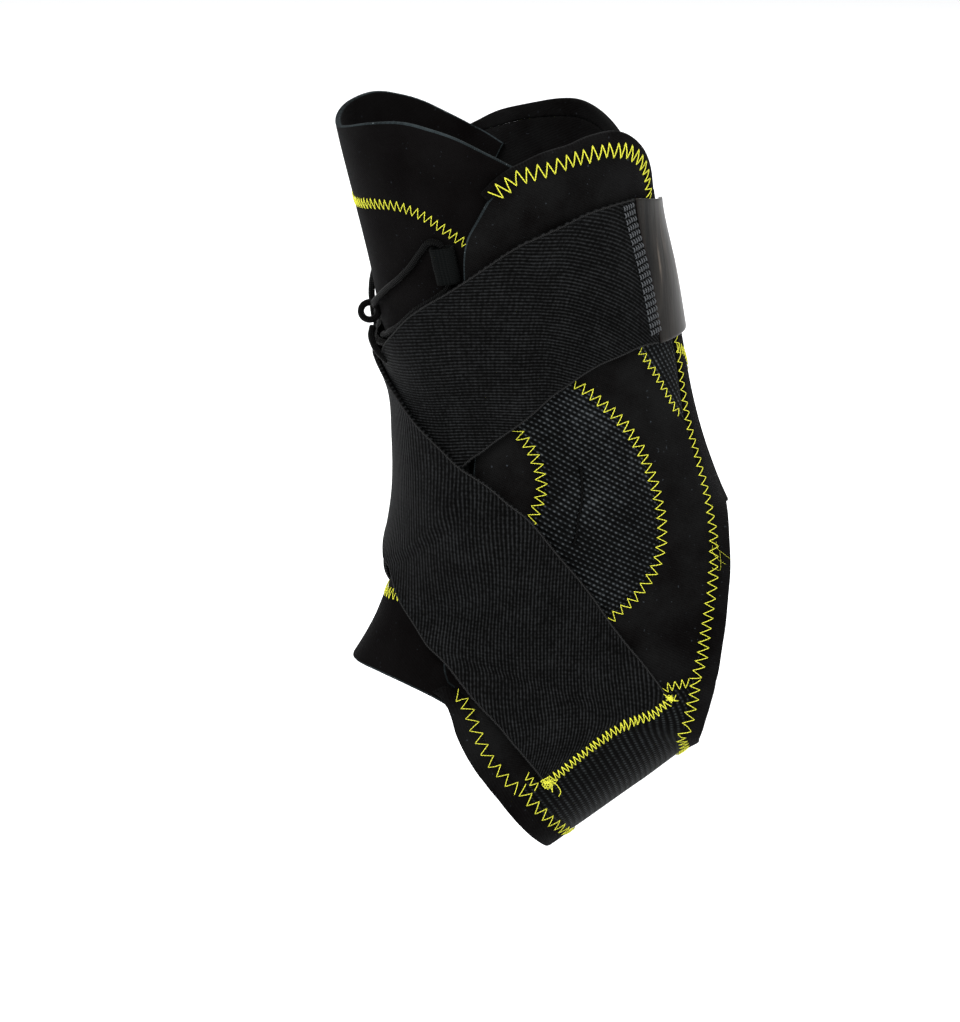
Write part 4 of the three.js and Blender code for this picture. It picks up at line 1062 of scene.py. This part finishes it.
def tube(points, radius, sides=12, lift=None):
    """Points, faces and flat places of a closed round tube along points, in millimetres."""
    way = unit(np.gradient(points, axis=0))
    if lift is None:
        lift = np.zeros_like(points)
        lift[0] = unit(np.cross(way[0], (0.3, 0.5, 0.8)))
        for k in range(1, len(points)):
            lift[k] = unit(lift[k - 1] - way[k] * np.dot(lift[k - 1], way[k]))
    lift = unit(lift - way * np.sum(lift * way, 1, keepdims=True))
    turn = np.linspace(0, 2 * np.pi, sides, endpoint=False)
    spokes = np.cos(turn)[:, None] * lift[:, None] + np.sin(turn)[:, None] * np.cross(way, lift)[:, None]
    tips = points[[0, -1]] + way[[0, -1]] * radius * TIP * np.array([[-1], [1]])
    flat = np.stack(np.broadcast_arrays(turn * radius, walked(points)[:, None]), -1).reshape(-1, 2)
    at = np.arange(len(points) * sides).reshape(-1, sides)
    p, q, last = at[:-1], at[1:], len(points) * sides
    quads = np.stack([p, np.roll(p, -1, 1), np.roll(q, -1, 1), q], -1).reshape(-1, 4)
    start = np.stack([np.full(sides, last), np.roll(at[0], -1), at[0]], -1)
    end = np.stack([np.full(sides, last + 1), at[-1], np.roll(at[-1], -1)], -1)
    points = np.concatenate([(points[:, None] + radius * spokes).reshape(-1, 3), tips])
    return points, quads.tolist() + start.tolist() + end.tolist(), np.concatenate([flat, flat[[0, -1]]])


def joined(name, parts):
    """One object from several point, face and flat-place sets."""
    points, faces, flats, count = [], [], [], 0
    for p, f, u in parts:
        points.append(p)
        faces += [[v + count for v in face] for face in f]
        flats.append(u)
        count += len(p)
    return mesh_object(name, np.concatenate(points), faces, np.concatenate(flats))


# %% [markdown]
# ## Cord along the route
#
# One strand lies on top at the crossing and the other passes beneath it. The knot is a tight
# ring of the same cord, and the free end stands up as half a bow.

# %% Lace, knot and bow
def lace_half(side, column, ending):
    """One strand of the lace on its side, with the rises of one column and its own ending."""
    rows = np.concatenate([LACE_ROUTE[:, [0, 1, column]], ending])
    return rounded(lace_spot(rows, side), 0.8)


over, beneath = lace_half(OUTER, 2, OVER_END), lace_half(INNER, 3, UNDER_END)
out, toes, across = (v[0] for v in axes(np.array([KNOT_PLACE[0]]), np.array([KNOT_PLACE[1]], float)))
turns = np.linspace(-KNOT_TURNS / 2, KNOT_TURNS / 2, 60)[:, None]
round_out, round_toes = (KNOT_RADIUS * turned(2 * np.pi * turns) for turned in (np.cos, np.sin))
ring = lace_spot(KNOT_PLACE)[0] + round_out * out + round_toes * toes + KNOT_PITCH * turns * across
bow = rounded(lace_spot(BOW_ROUTE), 0.6)
for name, line, node in (("lace_over_strand", over, "lace_over"),
                         ("lace_under_strand", beneath, "lace_under"),
                         ("lace_tie", ring, "lace_knot"),
                         ("lace_bow_loop", bow, "lace_bow")):
    dress(joined(name, [tube(line, CORD_RADIUS)]), braided_cord, node)
length = sum(walked(line)[-1] for line in (over, beneath, ring))
print("lace length in mm:", round(float(length)))

# %% [markdown]
# ## Ribbon loops
#
# Each loop is a strip of thin woven ribbon folded over the cord and sewn under the panel's edge.

# %% Ribbon loops
RIBBON_THICK, RIBBON_BULGE = (0.7, 0.35), 0.12


def squashed(turn, wide, tall, power_wide, power_tall):
    """A ring with flattened sides round the middle of the ribbon: places across it and up it."""
    c, s = np.cos(turn), np.sin(turn)
    across, up = np.sign(c) * np.abs(c) ** power_wide, np.sign(s) * np.abs(s) ** power_tall
    return wide * across, RIBBON_HEIGHT / 2 + tall * up


def ribbon_loop(name, node, side, place):
    """A folded ribbon as one closed solid with an outer and an inner ring at each station."""
    along, around = np.array([place[0]]), np.array([side * place[1]], float)
    out, toes, _ = (v[0] for v in axes(along, around))
    aside = np.cross(out, toes)
    foot = spot(along, around, RIBBON_FOOT + place[2] * 2 * CORD_RADIUS)[0]
    wide, tall = RIBBON_WIDTH / 2, RIBBON_HEIGHT / 2
    turn = np.linspace(0, 2 * np.pi, 40, endpoint=False)
    stations = np.linspace(-RIBBON_LENGTH / 2, RIBBON_LENGTH / 2, 15)[:, None]
    bulge = RIBBON_BULGE * np.cos(stations / RIBBON_LENGTH * np.pi * 3)
    layers = []
    for x, y in (squashed(turn, wide, tall, 0.45, 0.6),
                 squashed(turn, wide - RIBBON_THICK[0], tall - RIBBON_THICK[1], 0.35, 0.5)):
        up = y + bulge * (y > tall)
        layers.append(foot + stations[..., None] * toes + x[:, None] * aside + up[..., None] * out)
    flat = np.stack(np.broadcast_arrays(turn * wide, stations), -1).reshape(-1, 2)
    o, i = np.arange(2 * len(stations) * len(turn)).reshape(2, len(stations), len(turn))
    o_next, i_next = np.roll(o, -1, 1), np.roll(i, -1, 1)
    quads = [np.stack([o[:-1], o_next[:-1], o_next[1:], o[1:]], -1).reshape(-1, 4),
             np.stack([i[:-1], i[1:], i_next[1:], i_next[:-1]], -1).reshape(-1, 4),
             np.stack([o[0], i[0], i_next[0], o_next[0]], -1),
             np.stack([o[-1], o_next[-1], i_next[-1], i[-1]], -1)]
    points = np.concatenate(layers).reshape(-1, 3)
    piece = mesh_object(name, points, np.concatenate(quads).tolist(), np.tile(flat, (2, 1)))
    return dress(piece, woven_ribbon, node)


for name, side in SIDES.items():
    for k, place in enumerate(LOOP_PLACES, 1):
        ribbon_loop(f"{name}_ribbon_loop_{k}", f"{name}_lace_loop_{k}", side, place)
print("ribbon loops:", 2 * len(LOOP_PLACES))

# %% [markdown]
# ## Zigzag stitching
#
# A zigzag machine swings the needle across the seam. The thread dips into the cloth at each
# needle hole and lies taut between them, so each seam is one long tube that is walked along
# the seam by its real length. The pitch and width come from the photograph.

# %% Thread along a seam
rng = np.random.default_rng(7)
THREAD_RADIUS, TAPE_RADIUS, TAPE_SUNK, TACK_RISE = 0.13, 0.4, 0.6, 0.35


def shifted(places, vectors):
    """Places moved along the form by vectors in millimetres."""
    a, r = places.T
    da, dr = 0.001, 0.3
    ja = (skin(a + da, r) - skin(a - da, r)) / (2 * da)
    jr = (skin(a, r + dr) - skin(a, r - dr)) / (2 * dr)
    aa, rr, ar = (ja * ja).sum(-1), (jr * jr).sum(-1), (ja * jr).sum(-1)
    va, vr = (ja * vectors).sum(-1), (jr * vectors).sum(-1)
    det = aa * rr - ar * ar
    return places + np.stack([(rr * va - ar * vr) / det, (aa * vr - ar * va) / det], -1)


TAUT = np.array([(0.0, -0.5), (0.1, 0.35), (0.5, 0.8), (0.9, 0.35)])
RUNNING = np.array([(0.0, -0.8), (0.1, 0.5), (0.33, 0.9), (0.56, 0.5), (0.66, -0.8), (0.8, -1.6)])
LAST_RISE, THREAD_RISE = -0.5, 1.6


def thread_along(line, side, swings, height, radius, stroke=TAUT):
    """Tube of thread through (mm along, mm across) needle places of a line on the form."""
    strokes = swings[:-1, None] + np.diff(swings, axis=0)[:, None] * stroke[:, :1]
    steps = np.concatenate([strokes.reshape(-1, 2), swings[-1:]])
    rises = np.append(np.tile(stroke[:, 1], len(swings) - 1), LAST_RISE)
    share = np.clip(steps[:, 0] / line.length, 0, 1)
    centre = on(side, line.at(share))
    ahead, behind = (on(side, line.at(np.clip(share + nudge, 0, 1))) for nudge in (0.002, -0.002))
    out = axes(*centre.T)[0]
    way = skin(*ahead.T) - skin(*behind.T)
    places = shifted(centre, unit(np.cross(way, out)) * steps[:, 1:2] * side)
    return tube(spot(*places.T, height(*places.T) + rises * radius * THREAD_RISE), radius, 6,
                axes(*places.T)[0])


def zigzag(rows, side, width, pitch, height, start=0.0, end=1.0, shift=0.0, jitter=0.1, radius=THREAD_RADIUS):
    """Zigzag over part of a line: shares start to end, moved sideways by shift."""
    line = Line(rows)
    strokes = max(2, int(round(line.length * (end - start) / (pitch / 2))))
    along = np.linspace(start, end, strokes + 1) * line.length
    across = shift + width / 2 * np.where(np.arange(strokes + 1) % 2, 1, -1)
    swings = [along + rng.normal(0, jitter, strokes + 1), across + rng.normal(0, jitter, strokes + 1)]
    return thread_along(line, side, np.stack(swings, -1), height, radius)


def tack(place, side, height, size, strokes=26):
    """A bar tack: many short stitches on one spot."""
    line = Line([place, (place[0] - 0.02, place[1])])
    swings = rng.normal(0, size / 2.6, (strokes, 2)) * (1, 1.3) + (size / 2, 0)
    return thread_along(line, side, swings, lambda a, r: height(a, r) + TACK_RISE, THREAD_RADIUS)


def loose(places, side, height, radius):
    """A free thread through rows of place, turn and rise above the cloth."""
    along, around, rise = np.array(places).T
    return tube(rounded(spot(along, side * around, height(along, around) + rise), 0.3), radius, 6)


def sunk(line, depth):
    return [(*place, -depth) for place in line]


SECOND_REAR_ROW = [(0.253, 152), (0.258, 160.5), (0.27, 168.5), (0.279, 171)]
SOLE_CORNER = [(0.642, 100.5), (0.644, 103.5), (0.635, 105), (0.628, 108), (0.623, 110.5)]
SMALL_Z = [(0.84, 99.5), (0.845, 103), (0.85, 107)]
SEWN_END = [(0.833, 108), (0.797, 108.5), (0.773, 109), (0.747, 109), (0.709, 106.5), (0.673, 106.5),
            (0.659, 107)]
ZIGZAGS = {
    "top_stitching": [(TOP_SEAM, 4.8, 3.1, 0.035, 1.0, 0.1, 0.2, 0.19), (REAR_SEAM, 3.8, 3.2),
                      (SECOND_REAR_ROW, 3.2, 2.2)],
    "heel_stitching": [(HEEL_SEAM, 3.8, 3.2), (SOLE_CORNER, 3.0, 2.2)],
    "foot_stitching": [(FOOT_SEAM, 3.8, 3.8, 0.1, 1.0, 1.1), (FOOT_SEAM_UNDER, 3.8, 3.8),
                       (SMALL_Z, 2.6, 2.4)],
    "window_stitching": [(MESH_FRONT, 3.4, 3.1), (MESH_REAR, 3.4, 3.2), (WEDGE_FRONT, 2.4, 3.0, 0.0, 0.93)],
}
for name, side in SIDES.items():
    for label, seams in ZIGZAGS.items():
        parts = [zigzag(rows, side, width, pitch, binding_out, *more) for rows, width, pitch, *more in seams]
        dress(joined(f"{name}_{label}", parts), yellow_thread, slot="padded_knit")
parts = [zigzag(rows, side, 3.4, 2.3, tongue_out)
         for rows in (TONGUE_UPPER_SEAM, TONGUE_LOWER_SEAM) for side in (OUTER, INNER)]
dress(joined("tongue_stitching", parts), yellow_thread, slot="smooth_knit")
tape_line = sunk(TONGUE_LOWER_SEAM, TAPE_SUNK)
tapes = [loose(tape_line, side, tongue_out, TAPE_RADIUS) for side in (OUTER, INNER)]
dress(joined("tongue_seam_tape", tapes), braided_cord, slot="smooth_knit")

# %% [markdown]
# ## Strap ends
#
# Each strap is sewn on beside the sole with a dense zigzag over its raw end, with a bar tack at
# each side of it. Its other end is hemmed with five rows of glossy black running stitch, and its
# woven edges are finished with a thin cord whose paler colour is a painted highlight.

# %% Sewn ends, hems and woven edges
END_WIDTH, END_PITCH, END_JITTER, END_THREAD, TACK_SIZE = 3.4, 1.65, 0.16, 0.17, 2.4
LOOSE_TAIL = [(0.835, 109, 0.4), (0.838, 112, 1.2), (0.844, 115.5, 0.9), (0.85, 117, 0.3)]
HEM_LINE = [(0.113, 131.5), (0.148, 132.9), (0.184, 133.5), (0.221, 134.3), (0.241, 135)]
HEM_ROWS, HEM_GAP, HEM_PITCH, HEM_JITTER, HEM_THREAD = 5, 0.92, 2.35, 0.08, 0.26
EDGE_CORD_RADIUS, EDGE_CORD_STEP, EDGE_INSET, EDGE_SINK = 0.28, 0.8, 0.45, 0.1


def end_height(a, r):
    """Height of the raw end of a strap where it steps down to the sole."""
    low, high = mesh_out(a, r), strap_out(a, r)
    return high + (low - high) * smooth(from_front(r), 108, 110.5)


for name, side in SIDES.items():
    far, near = SEWN_END[0], SEWN_END[-1]
    parts = [zigzag(SEWN_END, side, END_WIDTH, END_PITCH, end_height, jitter=END_JITTER, radius=END_THREAD),
             tack((far[0] + 0.012, far[1]), side, end_height, TACK_SIZE + 0.8, 34),
             tack((near[0] - 0.002, near[1]), side, end_height, TACK_SIZE),
             loose(LOOSE_TAIL, side, end_height, THREAD_RADIUS)]
    dress(joined(name + "_strap_end_stitching", parts), yellow_thread, slot="woven_elastic")


def woven_edge(rows, side, turn, height):
    """A thin cord just inside an edge of a strap that lies on one side."""
    edge = Line(rows)
    places = on(side, edge.at(np.linspace(0.004, 0.996, int(edge.length / EDGE_CORD_STEP))))
    way = np.gradient(skin(*places.T), axis=0)
    inward = unit(np.cross(axes(*places.T)[0], way)) * turn * side
    inset = shifted(places, inward * EDGE_INSET)
    return tube(spot(*inset.T, height(*inset.T) - EDGE_SINK), EDGE_CORD_RADIUS, 8, axes(*inset.T)[0])


hem = Line(HEM_LINE)
stitches = np.arange(0, hem.length, HEM_PITCH)
for name, side, height in (("outer", INNER, top_strap_out), ("inner", OUTER, strap_out)):
    parts = []
    for row in range(HEM_ROWS):
        across = np.full(len(stitches), (row - HEM_ROWS // 2) * HEM_GAP)
        swings = np.stack([stitches + rng.normal(0, HEM_JITTER, len(stitches)), across], -1)
        parts.append(thread_along(hem, side, swings, height, HEM_THREAD, RUNNING))
    dress(joined(name + "_strap_hem_stitching", parts), black_thread, slot="woven_elastic")
    cords = [woven_edge(rows, -side, turn, height) for rows, turn in ((STRAP_UPPER, 1), (STRAP_LOWER, -1))]
    dress(joined(name + "_strap_selvedge_painted_highlight", cords), selvedge_yarn_painted_highlight, slot="woven_elastic")

# %% [markdown]
# ## Painted crease shadow and loose fibres
#
# In the crease of each ankle window a thin dark tube lies in the bottom of the groove. It is painted
# shade: it darkens the crease as the fold's shadow would. A few cut ends of thread stand off the
# rear seam, as on any brace that has been used.

# %% Painted crease shadow and loose fibres
CREASE_SHADOW_RADIUS, CREASE_SHADOW_SUNK, FIBRE_RADIUS = 0.42, 0.3, 0.035
FIBRES = [
    [(0.463, 133, 0.1), (0.47, 130, 1.2), (0.479, 131, 1.0), (0.484, 134, 0.3)],
    [(0.47, 135, 0.2), (0.477, 132, 1.3), (0.489, 129, 1.1), (0.486, 126.5, 0.4)],
    [(0.46, 136, 0.2), (0.466, 133.5, 0.9), (0.476, 135.5, 1.2), (0.481, 138, 0.5)]]
for name, side in SIDES.items():
    # Painted shade: a thin dark tube in the bottom of each crease stands for the crease's shadow.
    crease_shadow = joined(name + "_mesh_crease_painted_shadow", [loose(sunk(CREASE, CREASE_SHADOW_SUNK), side, mesh_out, CREASE_SHADOW_RADIUS)])
    dress(crease_shadow, braided_cord, slot="open_mesh")
fibres = joined("loose_fibres", [loose(rows, OUTER, binding_out, FIBRE_RADIUS) for rows in FIBRES])
dress(fibres, yellow_thread, slot="padded_knit")
print("loose fibres:", len(FIBRES))

# %% [markdown]
# ## Floor and light
#
# The photograph has a white ground and soft light. A wide pale floor and three large soft lights
# give the same even look.

# %% Floor, lights and world
FLOOR_Z = -0.165
floor_mesh = bpy.data.meshes.new("floor")
turn = np.linspace(0, 2 * np.pi, 96, endpoint=False)
floor_mesh.from_pydata([(9 * math.cos(t), 9 * math.sin(t), FLOOR_Z) for t in turn], [], [list(range(96))])
floor = bpy.data.objects.new("floor", floor_mesh)
bpy.context.scene.collection.objects.link(floor)
paper, tree, shader = surface("white_paper_sweep", 0.9, 0.2)
shader.inputs["Base Color"].default_value = linear("#f4f5f6")
floor_mesh.materials.append(paper)
floor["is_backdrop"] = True


def soft_light(name, place, size, power):
    data = bpy.data.lights.new(name, "AREA")
    data.shape, data.size, data.energy = "DISK", size, power
    lamp = bpy.data.objects.new(name, data)
    lamp.location = place
    lamp.rotation_euler = (-Vector(place)).to_track_quat("-Z", "Y").to_euler()
    bpy.context.scene.collection.objects.link(lamp)


soft_light("key_light", (-1.1, -1.5, 1.5), 1.4, 60)
soft_light("fill_light", (1.6, -1.0, 1.0), 1.6, 25)
soft_light("rim_light", (0.6, 1.6, 1.4), 1.4, 30)
world = bpy.data.worlds.new("studio")
world.use_nodes = True
background = world.node_tree.nodes["Background"]
background.inputs["Color"].default_value = linear("#ffffff")
background.inputs["Strength"].default_value = 0.9
bpy.context.scene.world = world
bpy.context.scene.view_settings.view_transform = "Standard"

# %% [markdown]
# ## Last measurements
#
# The dressed object must keep the CAD model's size, so its box is printed.

# %% Boxes and finish
low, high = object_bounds()
print("visual box in metres:", [round(v, 4) for v in (*low, *high)])
